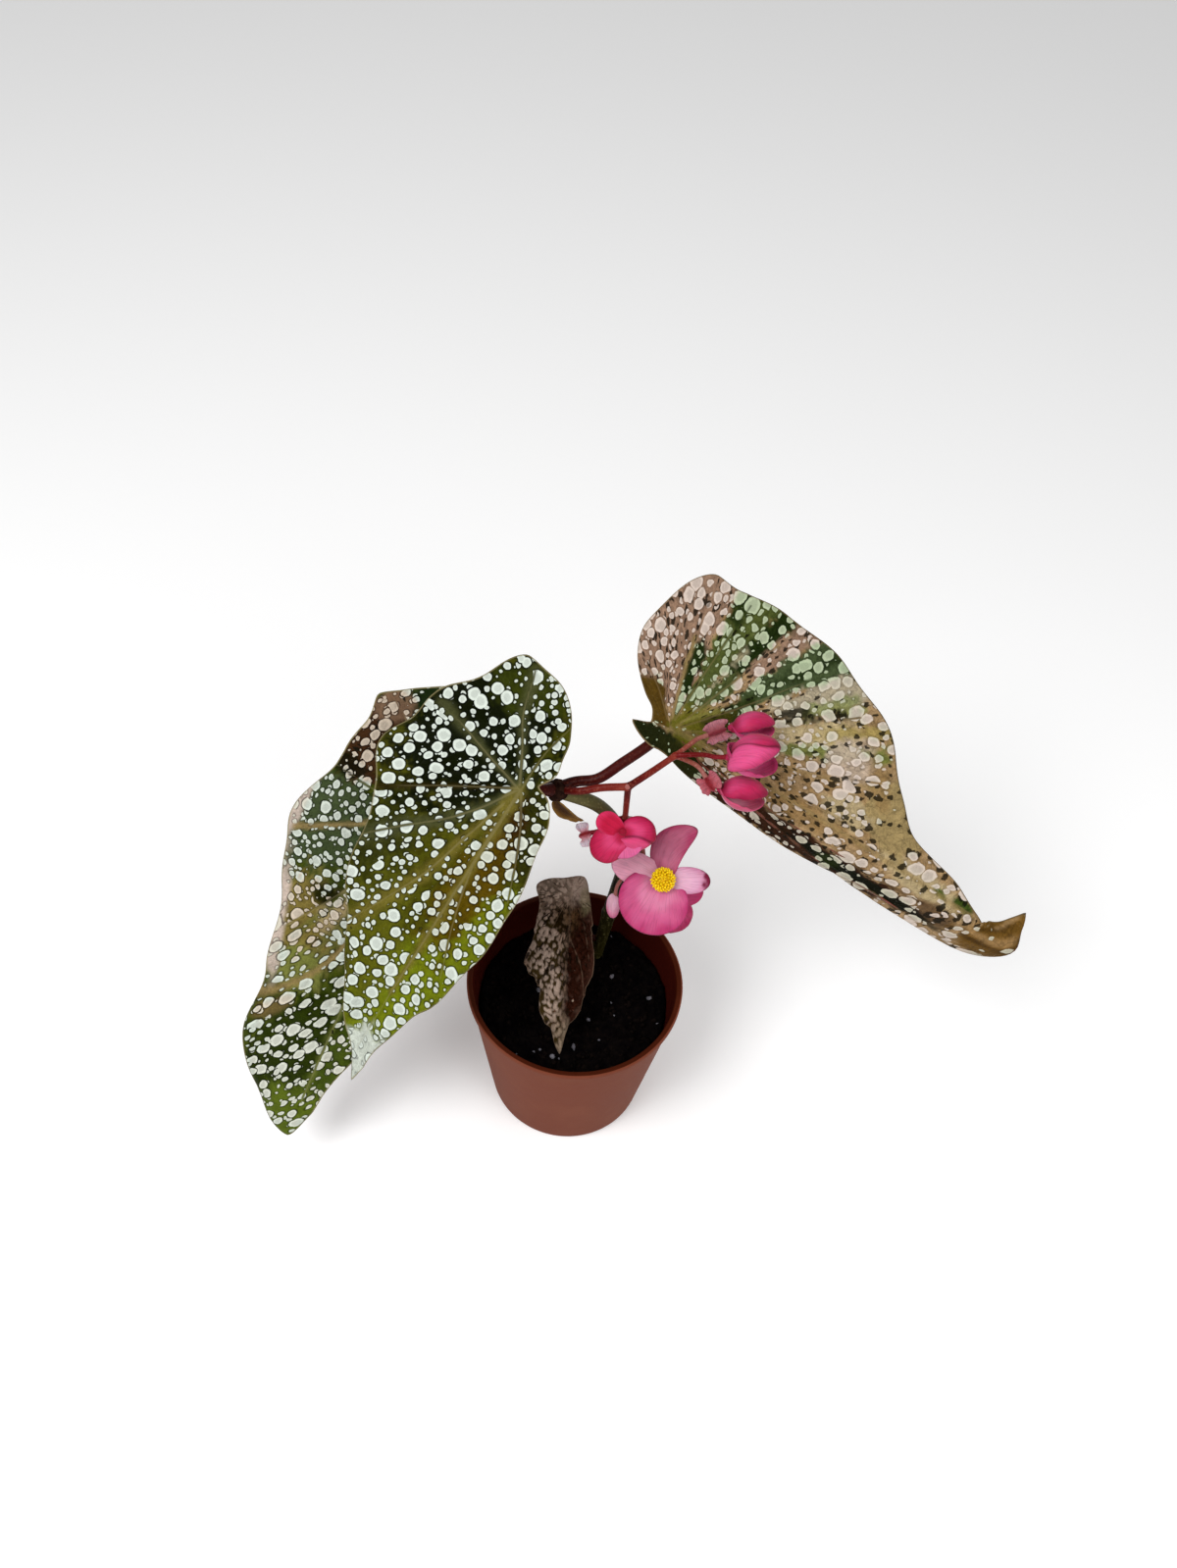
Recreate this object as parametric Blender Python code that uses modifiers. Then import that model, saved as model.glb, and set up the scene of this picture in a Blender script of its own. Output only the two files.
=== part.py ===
"""A potted angel-wing begonia: a small round pot of soil, one leaning cane, four leaves and a branched
stalk of flowers.

The pot stands on Z = 0 round the Z axis. The viewer is on the -Y side, above it, with +X to the right.
Lengths below are in millimetres and angles in degrees, and MM turns them into metres where a mesh is made.
A blade, which is a leaf, a tepal, a wing or a stipule, is an outline in the flat round the point that it
grows from, bent by a rule and then set in place: X runs ahead to its tip, Y to its left, Z out of its face.
"""

import math
from dataclasses import dataclass

import bmesh
import bpy
import numpy as np
from mathutils import Matrix, Vector

MM = 0.001
GAP = 0.3

# Pot: a thin moulded cup with a narrow lip and a foot ring
POT_HEIGHT = 65.5
RIM_RADIUS = 37.5
BASE_RADIUS = 28.1
POT_WALL = 1.2
LIP_HEIGHT = 2.0
LIP_OVERHANG = 0.9
EDGE_ROUNDING = 0.5
CORNER_ROUNDING = 1.5
FOOT_WIDTH = 5.0
CHANNEL_HEIGHT = 1.6
CHANNEL_SLOPE = 1.0
CENTRE_DISC_RADIUS = 14.0
DRAIN_RADIUS = 2.5
DRAIN_COUNT = 6
ROUND_STEPS = 36

# Soil: fills the pot to below the lip, with low lumps
SOIL_TOP = 52.0
SOIL_LUMP = 0.9
SOIL_RINGS = 6
SOIL_SIDE_ROWS = 2
SOIL_BASE_ROWS = 2
SOIL_FOOT_INSET = 1.5
SOIL_WALL_GAP = 0.9
HOLE_CLEARANCE = 0.5

# Cane: from the soil up to the node that carries the leaves and the flower stalk
CANE_ROUTE = (
    (6.6, 20.6, 38.0),
    (6.9, 20.1, 52.0),
    (8.1, 18.5, 66.0),
    (9.6, 17.8, 82.0),
    (10.9, 18.2, 95.0),
    (12.3, 19.8, 107.0),
    (11.4, 20.2, 119.0),
    (7.4, 18.8, 131.0),
    (0.8, 16.6, 141.4),
    (-5.6, 14.7, 146.4),
    (-10.4, 13.6, 149.2),
)
CANE_RADII = (2.3, 2.3, 2.2, 2.6, 2.2, 2.1, 2.1, 2.1, 2.2, 2.2, 2.2)
KNOB = (-11.0, 13.4, 150.0)
KNOB_RADIUS = 3.4

LEAF_THICKNESS = 0.7
LEAF_RINGS = 6
LEAF_SPOKES = 60

FLOWER_THICKNESS = 0.7
TEPAL_RINGS = 3
TEPAL_SPOKES = 12
HEART_SQUASH = 0.8

# How any blade is bent: its steepest cross slope in radians, how far behind the root a growing fold begins,
# where towards the margin its waves begin, and the least reach that a tooth's depth is measured against
STEEPEST = 1.45
GROWS_FROM = 4.0
WAVES_FROM = 0.45
LEAST_REACH = 12.0
LONGEST_BLADE = 170.0

# Colours of the real thing, as linear red, green and blue
TERRACOTTA = (0.19, 0.065, 0.042)
SOIL_BLACK = (0.012, 0.010, 0.009)
CANE_GREEN = (0.12, 0.17, 0.05)
STIPULE_BROWN = (0.16, 0.09, 0.03)
PETIOLE_RED = (0.16, 0.03, 0.02)
STALK_RED = (0.38, 0.05, 0.04)
LEAF_GREEN = (0.07, 0.11, 0.03)
LEAF_TAN = (0.40, 0.29, 0.21)
LEAF_TAUPE = (0.20, 0.14, 0.11)
DEEP_PINK = (0.66, 0.035, 0.13)
SOFT_PINK = (0.62, 0.15, 0.27)
PALE_PINK = (0.72, 0.35, 0.36)
STAMEN_YELLOW = (0.85, 0.62, 0.02)


@dataclass(frozen=True)
class Bend:
    """How a flat blade is bent, in degrees, millimetres and, for curvatures, radians a millimetre.

    The two sides of the midrib rise by their folds, which come in over fold_width, and curl on outward.
    Where grow is set, the right fold starts at fold_root beside the root and comes in over that length. The
    midrib starts at the rise angle and droops ahead of its root and behind it. Sway carries the middle of the
    length sideways, and past hook_start the blade turns to its left in its own plane, round hook_side.
    """

    fold_left: float = 0.0
    fold_right: float = 0.0
    fold_width: float = 5.0
    curl_left: float = 0.0
    curl_right: float = 0.0
    rise: float = 0.0
    droop: float = 0.0
    back_droop: float = 0.0
    sway: float = 0.0
    length: float = 100.0
    grow: float = 0.0
    fold_root: float = 0.0
    hook_start: float = 500.0
    hook: float = 0.0
    hook_side: float = 0.0


@dataclass(frozen=True)
class Margin:
    """Waves and teeth of a leaf's edge: counts round the edge, heights and depths in millimetres."""

    waves: int
    wave_height: float
    teeth: int
    tooth_depth: float
    phase: float = 0.0


@dataclass(frozen=True)
class Leaf:
    """A leaf: where its veins meet, which way its tip and its face point, and its outline.

    The outline is pairs of a bearing from the tip, in degrees to the left, and a reach in millimetres.
    """

    junction: tuple
    ahead: tuple
    face: tuple
    outline: tuple
    bend: Bend
    margin: Margin
    colour: tuple
    spokes: int = LEAF_SPOKES
    rings: int = LEAF_RINGS


LEAVES = {
    "front": Leaf(
        junction=(-21.5, 5.3, 158.0),
        ahead=(-0.466, -0.619, -0.632),
        face=(-0.06, -0.70, 0.71),
        outline=(
            (2, 112), (4, 97), (9, 82), (17, 66), (30, 44), (49, 23), (80, 12), (106, 9), (134, 6),
            (144, 11), (157, 14), (168, 21), (177, 26), (-167, 33), (-150, 40), (-131, 36), (-112, 37),
            (-93, 39), (-79, 42), (-58, 41), (-46, 42), (-33, 52), (-24, 58), (-13, 72), (-5, 89), (-1, 103),
        ),
        bend=Bend(10, 8, 5.0, -0.004, -0.0045, 0, 0.0035, 0.002, sway=-4.5, length=104),
        margin=Margin(waves=9, wave_height=1.5, teeth=15, tooth_depth=0.7),
        colour=LEAF_GREEN,
    ),
    "back": Leaf(
        junction=(-47.5, 18.2, 133.0),
        ahead=(-0.377, -0.653, -0.657),
        face=(-0.10, -0.68, 0.72),
        outline=(
            (0, 137), (-3, 135), (-9, 122), (-14, 103), (-16, 88), (-21, 71), (-30, 59), (-45, 50),
            (-56, 46), (-70, 40), (-85, 35), (-111, 35), (-122, 40), (-132, 37), (-157, 37), (180, 28),
            (158, 14), (130, 8), (100, 13), (70, 20), (50, 26), (35, 35), (24, 48), (15, 70), (8, 97),
            (4, 112), (2, 127),
        ),
        bend=Bend(12, 10, 5.0, -0.004, -0.004, 0, 0.0035, 0.002, sway=-4, length=125),
        margin=Margin(waves=10, wave_height=1.7, teeth=15, tooth_depth=0.8, phase=1.0),
        colour=LEAF_GREEN,
    ),
    "right": Leaf(
        junction=(21.0, 28.3, 166.0),
        ahead=(0.909, -0.278, -0.31),
        face=(0.22, -0.62, 0.76),
        outline=(
            (-4.3, 145), (-2.2, 143), (0, 134), (-0.6, 125), (1, 119), (4, 109), (8, 95), (12, 86),
            (20, 78), (31, 74), (42, 69), (52, 64), (63, 58), (75, 53), (91, 48), (102, 50), (119, 40),
            (134, 32), (143, 24), (153, 14), (162, 8), (-170, 6), (-163, 11.5), (-146, 10), (-110, 8.5),
            (-62, 8.5), (-41, 12.5), (-27, 23), (-18, 36), (-13, 54), (-9, 67), (-6, 86), (-6, 103), (-7, 118),
            (-7.5, 130), (-6, 137), (-4.6, 140.5),
        ),
        bend=Bend(
            6, -62, 5.0, -0.003, 0.0, 0, 0.0025, 0, sway=-7, length=125,
            grow=25, fold_root=-8, hook_start=122, hook=0.09, hook_side=-8,
        ),
        margin=Margin(waves=8, wave_height=1.2, teeth=15, tooth_depth=0.6, phase=2.0),
        colour=LEAF_TAN,
    ),
    "young": Leaf(
        junction=(-3.9, 15.3, 94.0),
        ahead=(0.017, -0.891, -0.455),
        face=(0.0, -0.5, 0.8),
        outline=(
            (0, 54), (3, 46), (11, 37), (24, 25), (45, 11), (88, 7), (149, 7), (-173, 6), (-124, 10),
            (-103, 13), (-75, 13), (-49, 16), (-40, 21), (-33, 29), (-18, 34), (-9, 44), (-3, 50),
        ),
        bend=Bend(-22, -22, 3.0, -0.012, -0.012, 0, 0.008, 0.01, length=50),
        margin=Margin(waves=9, wave_height=0.5, teeth=9, tooth_depth=0.9, phase=0.5),
        colour=LEAF_TAUPE,
        spokes=36,
        rings=4,
    ),
}

# Petioles: from the cane to the underside of each blade, where they end square to it
PETIOLE_ROUTES = {
    "front": ((-16.8, 9.8, 153.6),),
    "back": ((-24.0, 21.0, 144.0), (-36.0, 24.0, 132.0), (-44.0, 23.5, 126.5)),
    "right": ((-7.2, 15.9, 152.5), (0.4, 16.0, 155.2), (7.5, 19.8, 158.4), (14.6, 24.4, 161.2)),
    "young": ((4.9, 18.7, 64.0), (2.6, 18.8, 65.5), (-0.8, 19.0, 74.0), (-3.2, 18.8, 85.0)),
}
PETIOLE_RADII = {"front": 1.7, "back": 1.6, "right": 1.65, "young": 1.0}
PETIOLE_DROP = {"front": 0.9, "back": 0.75, "right": 1.55, "young": 0.98}
PETIOLE_RUN_IN = {"front": 3.0, "back": 3.0, "right": 1.2, "young": 2.0}


@dataclass(frozen=True)
class Branch:
    """A length of the flower stalk from one named point to another, and its radius at each end."""

    start: str
    by: tuple
    end: str
    first_radius: float
    last_radius: float


FORKS = {
    "fork one": (10.0, 11.4, 157.0),
    "fork two": (22.7, 14.0, 170.0),
    "fork three": (10.4, 12.4, 141.2),
}
STALK = (
    Branch("knob", ((-4.4, 10.8, 153.6), (2.0, 11.2, 155.6)), "fork one", 1.15, 1.2),
    Branch("fork one", ((16.6, 12.4, 164.0),), "fork two", 1.1, 0.95),
    Branch("fork one", ((10.2, 12.2, 149.0),), "fork three", 1.05, 0.9),
    Branch("fork two", ((27.0, 18.2, 171.2),), "top ovary", 0.75, 0.65),
    Branch("fork two", ((31.0, 12.2, 173.4),), "middle hinge", 0.75, 0.65),
    Branch("fork two", (), "lower ovary", 0.75, 0.65),
    Branch("fork three", (), "nodding heart", 0.75, 0.7),
    Branch("fork three", ((6.2, 12.8, 138.6),), "nodding ovary", 0.7, 0.6),
    Branch(
        "fork three", ((15.6, 19.8, 130.0), (17.5, 20.8, 118.0), (19.6, 18.8, 110.2)), "open heart", 0.75, 0.7
    ),
    Branch(
        "fork three", ((15.0, 21.0, 128.0), (16.8, 22.0, 114.0), (20.6, 19.6, 105.4)), "behind heart", 0.7, 0.65
    ),
    Branch("fork three", ((13.4, 16.8, 129.0), (14.4, 17.0, 118.0), (13.2, 14.6, 110.0)), "bud", 0.65, 0.55),
)
RUN_IN = 3.0


@dataclass(frozen=True)
class Tepal:
    """A petal-like blade: its bearing in the bloom's face, its lift out of it and its turn about its length.

    It is an egg in outline, which reaches length ahead of its root and base behind it. Taper is positive
    where it is widest towards its tip.
    """

    bearing: float
    lift: float
    length: float
    width: float
    base: float = 1.0
    taper: float = 0.0
    curl: float = -0.04
    rise: float = 0.0
    droop: float = 0.02
    turn: float = 0.0
    sway: float = 0.0


@dataclass(frozen=True)
class Bloom:
    """A flower: its heart, the way its face looks, the way to its right, and its tepals."""

    heart: tuple
    face: tuple
    right: tuple
    tepals: tuple
    colour: tuple
    heart_radius: float = 1.3


def shell_pair(length, width, gape, base=1.0, lower_length=None, rise=60.0):
    """Two cupped tepals that close on each other like a shell, hinged at the heart and opening along X."""
    curl = -2.3 / width
    pair = []
    for turn, reach in ((0.0, length), (180.0, lower_length or length)):
        lift = gape / 2 if turn == 0 else -gape / 2
        droop = 2 * math.radians(rise) / reach
        pair.append(Tepal(0, lift, reach, width, base, 0.0, curl, rise, droop, turn))
    return tuple(pair)


TOWARDS_VIEWER = (-0.06, -0.60, 0.80)
VIEW_RIGHT = (0.995, 0.072, 0.06)

BLOOMS = {
    "open": Bloom(
        heart=(24.8, 9.5, 115.0),
        face=TOWARDS_VIEWER,
        right=VIEW_RIGHT,
        tepals=(
            Tepal(58, 12, 20.0, 11.4, 1.2, 0.0, -0.05, 0, 0.012, sway=3.9),
            Tepal(158, 6, 17.5, 10.8, 1.0, 0.10, -0.05, 0, 0.010),
            Tepal(-2, 8, 15.5, 8.8, 1.0, 0.10, -0.05, 0, 0.012),
            Tepal(-113, 8, 18.6, 23.0, 2.6, 0.0, 0.012, 6, 0.004),
        ),
        colour=SOFT_PINK,
    ),
    "behind": Bloom(
        heart=(28.4, 10.0, 104.2),
        face=(0.30, -0.75, 0.45),
        right=VIEW_RIGHT,
        tepals=(
            Tepal(-80, 2, 14.3, 14.0, 1.0, 0.0, -0.05, 0, 0.03),
            Tepal(12, 2, 11.5, 9.0, 1.0, 0.0, -0.05, 0, 0.03),
        ),
        colour=DEEP_PINK,
    ),
    "nodding": Bloom(
        heart=(9.9, 7.0, 141.0),
        face=(0.0, -0.80, 0.60),
        right=VIEW_RIGHT,
        tepals=(
            Tepal(-14, -14, 11.5, 12.5, 1.2, 0.0, -0.13, 26, 0.080),
            Tepal(-132, -8, 12.8, 12.4, 1.2, 0.0, -0.09, 14, 0.040),
            Tepal(-86, -4, 9.2, 12.0, 1.6, 0.0, -0.03, 0, 0.010),
            Tepal(148, -4, 9.0, 7.0, 0.8, 0.0, -0.05, 10, 0.020),
        ),
        colour=DEEP_PINK,
    ),
    "top": Bloom(
        heart=(38.8, 25.0, 172.4),
        face=(-0.11, 0.34, 0.93),
        right=(0.99, 0.10, 0.10),
        tepals=shell_pair(15.5, 12.5, 10),
        colour=DEEP_PINK,
    ),
    "middle": Bloom(
        heart=(37.5, 10.2, 175.6),
        face=(-0.12, 0.10, 0.98),
        right=(0.99, 0.02, 0.10),
        tepals=shell_pair(18.0, 17.0, 34, 3.4, 18.5),
        colour=DEEP_PINK,
    ),
    "lower": Bloom(
        heart=(36.8, 8.8, 163.2),
        face=(-0.05, 0.30, 0.95),
        right=(0.98, -0.10, -0.06),
        tepals=shell_pair(16.5, 14.0, 14),
        colour=DEEP_PINK,
    ),
}

# Ovaries: a spindle with three thin wings, between a pedicel and its tepals
OVARY_RADIUS = 1.3
WING_REACH = 4.0
WING_ROOT = 0.5
WING_SHARE = 0.92
WING_ANGLES = (35, 155, 275)
WING_BEND = Bend(curl_left=0.04, curl_right=0.04, droop=0.05)
WING_SPOKES = 10
OVARIES = {
    "top": ((31.3, 21.8, 171.2), (37.3, 24.6, 172.2)),
    "lower": ((32.0, 11.2, 165.2), (35.0, 7.4, 163.4)),
    "nodding": ((0.8, 9.8, 135.6), (-3.3, 9.0, 133.8)),
}

BUD_TIP = (9.6, 5.2, 97.0)
BUD_TOP = (10.4, 9.6, 104.6)
BUD_RADIUS = 2.2

STAMEN_DOME_RADIUS = 3.2
STAMEN_DOME_HEIGHT = 4.4
ANTHER_RADIUS = 0.85
ANTHER_REACH = 3.4
ANTHER_COUNT = 22
GOLDEN_ANGLE = math.pi * (3 - math.sqrt(5))

# Stipule: a scale that leaves the knob one way and points another
STIPULE_LENGTH = 17.0
STIPULE_WIDTH = 4.6
STIPULE_BASE = 1.0
STIPULE_TAPER = -0.35
STIPULE_BEND = Bend(30, 30, 2.0, 0.05, 0.05, 0, 0.03)
STIPULE_TOWARDS = (-0.02, -0.30, -0.95)
STIPULE_AHEAD = (0.50, 0.02, -0.87)
STIPULE_FACE = (-0.3, -0.8, 0.3)
STIPULE_SPOKES = 14


def clear_scene():
    """Removes what the scene holds at the start."""
    for obj in list(bpy.data.objects):
        bpy.data.objects.remove(obj, do_unlink=True)


def new_collection(name, hidden=False):
    """A collection of the scene, left out of renders where it holds cutters."""
    collection = bpy.data.collections.new(name)
    collection.hide_render = hidden
    bpy.context.scene.collection.children.link(collection)
    return collection


def new_material(name, colour, roughness, metallic=0.0):
    """A Principled material of one colour."""
    material = bpy.data.materials.new(name)
    material.use_nodes = True
    shader = material.node_tree.nodes["Principled BSDF"]
    shader.inputs["Base Color"].default_value = (*colour, 1.0)
    shader.inputs["Roughness"].default_value = roughness
    shader.inputs["Metallic"].default_value = metallic
    material.diffuse_color = (*colour, 1.0)
    return material


def facing(ahead, face):
    """The rotation that turns X to ahead and Z as near to face as it can be."""
    along = Vector(ahead).normalized()
    out = Vector(face)
    out = (out - along * out.dot(along)).normalized()
    return Matrix((along, out.cross(along), out)).transposed()


def placed(name, data, collection, parent=None, at=(0, 0, 0), turn=None):
    """An object for a mesh or curve, set at a place in millimetres and turned by a rotation matrix."""
    obj = bpy.data.objects.new(name, data)
    collection.objects.link(obj)
    obj.parent = parent
    obj.location = Vector(at) * MM
    if turn is not None:
        obj.rotation_euler = turn.to_euler()
    return obj


def mesh_from_grid(name, shape, across, along):
    """A mesh of triangles from a grid whose corners go where shape(u, v) says, u and v from 0 to 1."""
    bm = bmesh.new()
    bmesh.ops.create_grid(bm, x_segments=across, y_segments=along, size=0.5)
    flat = np.array([vert.co[:2] for vert in bm.verts]) + 0.5
    for vert, point in zip(bm.verts, shape(flat[:, 0], flat[:, 1])):
        vert.co = Vector(point) * MM
    bmesh.ops.remove_doubles(bm, verts=bm.verts, dist=0.005 * MM)
    bmesh.ops.triangulate(bm, faces=bm.faces)
    mesh = bpy.data.meshes.new(name)
    bm.to_mesh(mesh)
    bm.free()
    mesh.shade_smooth()
    return mesh


def thicken(obj, thickness):
    """Gives an open sheet its thickness, half to each side."""
    wall = obj.modifiers.new("thickness", "SOLIDIFY")
    wall.thickness = thickness * MM
    wall.offset = 0.0


def smooth_route(points, spacing):
    """Points about spacing apart on a smooth curve through the given ones."""
    knots = np.array(points, float)
    steps = np.linalg.norm(np.diff(knots, axis=0), axis=1)
    stations = np.concatenate([[0.0], np.cumsum(steps)])
    slopes = np.gradient(knots, stations, axis=0)
    count = max(4, round(stations[-1] / spacing) + 1)
    where = np.linspace(0, stations[-1], count)
    return hermite(knots, slopes, stations, where)


def hermite(knots, slopes, stations, where):
    """Cubic pieces through the knots with these slopes, read at distances along them."""
    piece = np.clip(np.searchsorted(stations, where, side="right") - 1, 0, len(stations) - 2)
    length = (stations[piece + 1] - stations[piece])[:, None]
    t = (where - stations[piece])[:, None] / length
    start = (1 + 2 * t) * (1 - t) ** 2 * knots[piece] + t * (1 - t) ** 2 * length * slopes[piece]
    end = t**2 * (3 - 2 * t) * knots[piece + 1] + t**2 * (t - 1) * length * slopes[piece + 1]
    return start + end


def smooth_loop(points, count):
    """Points evenly spaced on a closed smooth curve through the given ones, sharp where it turns back."""
    knots = np.array(points, float)
    after = np.roll(knots, -1, axis=0) - knots
    before = np.roll(after, 1, axis=0)
    far = np.linalg.norm(after, axis=1)[:, None]
    near = np.linalg.norm(before, axis=1)[:, None]
    slopes = (after / far * near + before / near * far) / (near + far)
    straight = (after * before).sum(axis=1, keepdims=True) / (far * near)
    slopes = slopes * (1 + straight) / 2
    stations = np.concatenate([[0.0], np.cumsum(far)])
    fine = np.linspace(0, stations[-1], 40 * len(knots))
    curve = hermite(np.vstack([knots, knots[:1]]), np.vstack([slopes, slopes[:1]]), stations, fine)
    run = np.concatenate([[0.0], np.cumsum(np.linalg.norm(np.diff(curve, axis=0), axis=1))])
    even = np.linspace(0, run[-1], count + 1)
    return np.column_stack([np.interp(even, run, curve[:, axis]) for axis in (0, 1)])


def rolled(slope_of, reach):
    """Where points of a straight line go when the line takes the slope angle slope_of(distance)."""
    table = np.linspace(-LONGEST_BLADE, LONGEST_BLADE, 1701)
    slope = slope_of(table)
    step = table[1] - table[0]
    along = np.cumsum(np.cos(slope)) * step
    up = np.cumsum(np.sin(slope)) * step
    middle = len(table) // 2
    return (
        np.interp(reach, table, along - along[middle]),
        np.interp(reach, table, up - up[middle]),
        np.interp(reach, table, slope),
    )


def hooked(bend, x, y):
    """Flat points past hook_start turned to the left in the plane, round a centre line at hook_side."""
    past = np.clip(x - bend.hook_start, 0, None)
    turn = bend.hook * past
    ahead = np.where(turn > 0, np.sin(turn) / max(bend.hook, 1e-9), 0)
    aside = np.where(turn > 0, (1 - np.cos(turn)) / max(bend.hook, 1e-9), 0)
    off = y - bend.hook_side
    return (
        np.minimum(x, bend.hook_start) + ahead - np.where(turn > 0, np.sin(turn) * off, 0),
        np.where(turn > 0, bend.hook_side + aside + np.cos(turn) * off, y),
    )


def cross_section(bend, fold_right, y):
    """Where the width goes when both sides of the midrib fold and curl."""

    def slope(side):
        fold = np.where(side > 0, bend.fold_left, fold_right)
        curl = np.where(side > 0, bend.curl_left, bend.curl_right)
        tilt = np.radians(fold) * np.tanh(side / bend.fold_width) + curl * side
        return np.clip(tilt, -STEEPEST, STEEPEST)

    side, up, _ = rolled(slope, y)
    return side, up


def bent(bend, x, y, lift):
    """Where the flat point (x, y), raised by lift, goes on the bent blade."""

    def length_slope(ahead):
        droop = np.where(ahead > 0, bend.droop, bend.back_droop)
        return math.radians(bend.rise) - droop * ahead

    share = np.clip(x / bend.length, 0, 1)
    x, y = hooked(bend, x, y + bend.sway * 4 * share * (1 - share))
    side, up = cross_section(bend, bend.fold_right, y)
    if bend.grow:
        near_side, near_up = cross_section(bend, bend.fold_root, y)
        grown = np.clip((x + GROWS_FROM) / bend.grow, 0, 1)
        grown = grown * grown * (3 - 2 * grown)
        side = near_side + (side - near_side) * grown
        up = near_up + (up - near_up) * grown
    ahead, high, slope = rolled(length_slope, x)
    up = up + lift
    return np.column_stack([ahead - np.sin(slope) * up, side, high + np.cos(slope) * up])


def blade_mesh(name, outline, bend, spokes, rings, margin=None):
    """A blade whose rings are the outline drawn in towards its root, with waves that grow to the margin."""

    def shape(u, v):
        station = np.round(u * spokes).astype(int)
        reach = v
        lift = np.zeros_like(u)
        if margin:
            tooth = np.cos(2 * np.pi * margin.teeth * u) * margin.tooth_depth
            size = np.linalg.norm(outline[station], axis=1)
            reach = v * (1 + tooth * v**4 / np.maximum(size, LEAST_REACH))
            wave = np.sin(2 * np.pi * margin.waves * u + margin.phase)
            lift = margin.wave_height * wave * np.clip((v - WAVES_FROM) / (1 - WAVES_FROM), 0, 1) ** 2
        flat = outline[station] * reach[:, None]
        return bent(bend, flat[:, 0], flat[:, 1], lift)

    return mesh_from_grid(name, shape, spokes, rings)


def polar(points):
    """Flat points of pairs of a bearing and a reach."""
    bearing, reach = np.radians([p[0] for p in points]), np.array([p[1] for p in points])
    return np.column_stack([reach * np.cos(bearing), reach * np.sin(bearing)])


def egg(length, width, base, taper, count):
    """An egg-shaped outline round a root that lies base in from its near end."""
    turn = np.linspace(0, 2 * np.pi, count + 1)
    half = (length + base) / 2
    x = half - base + half * np.cos(turn)
    y = width / 2 * np.sin(turn) * (1 + taper * np.cos(turn))
    return np.column_stack([x, y])


def tube_curve(name, route, radii, spacing, sides_setting=2):
    """A round stem: a curve through the route with a radius at each of its points and filled caps."""
    path = smooth_route(route, spacing)
    knots = np.array(route, float)
    stations = np.concatenate([[0.0], np.cumsum(np.linalg.norm(np.diff(knots, axis=0), axis=1))])
    thick = np.interp(np.linspace(0, stations[-1], len(path)), stations, radii)
    curve = bpy.data.curves.new(name, "CURVE")
    curve.dimensions = "3D"
    curve.bevel_depth = MM
    curve.bevel_resolution = sides_setting
    curve.use_fill_caps = True
    spline = curve.splines.new("POLY")
    spline.points.add(len(path) - 1)
    for knot, point, radius in zip(spline.points, path, thick):
        knot.co = (*(Vector(point) * MM), 1.0)
        knot.radius = radius
    return curve


def as_mesh(obj):
    """The object with its curve or modifiers made a plain mesh."""
    bpy.context.view_layer.update()
    evaluated = obj.evaluated_get(bpy.context.evaluated_depsgraph_get())
    mesh = bpy.data.meshes.new_from_object(evaluated)
    bm = bmesh.new()
    bm.from_mesh(mesh)
    bmesh.ops.remove_doubles(bm, verts=bm.verts, dist=0.002 * MM)
    bm.to_mesh(mesh)
    bm.free()
    solid = bpy.data.objects.new(obj.name + "_solid", mesh)
    solid.matrix_world = obj.matrix_world
    for collection in obj.users_collection:
        collection.objects.link(solid)
    bpy.data.objects.remove(obj, do_unlink=True)
    return solid


def fuse(name, pieces, collection, material):
    """One body from overlapping pieces, by a Boolean union on a collection of all but the first."""
    solids = [as_mesh(piece) for piece in pieces]
    body = solids[0]
    others = new_collection(name + "_pieces")
    for solid in solids[1:]:
        for owner in list(solid.users_collection):
            owner.objects.unlink(solid)
        others.objects.link(solid)
    union = body.modifiers.new("union", "BOOLEAN")
    union.operation = "UNION"
    union.operand_type = "COLLECTION"
    union.collection = others
    union.solver = "EXACT"
    joined = as_mesh(body)
    for solid in list(others.objects):
        bpy.data.objects.remove(solid, do_unlink=True)
    bpy.data.collections.remove(others)
    joined.name = name
    joined.data.name = name
    joined.data.materials.append(material)
    joined.data.shade_smooth()
    return joined


def wall_radius(height):
    """The pot's outer radius at a height, below its lip."""
    top = RIM_RADIUS - LIP_OVERHANG
    return BASE_RADIUS + (top - BASE_RADIUS) * height / POT_HEIGHT


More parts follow.
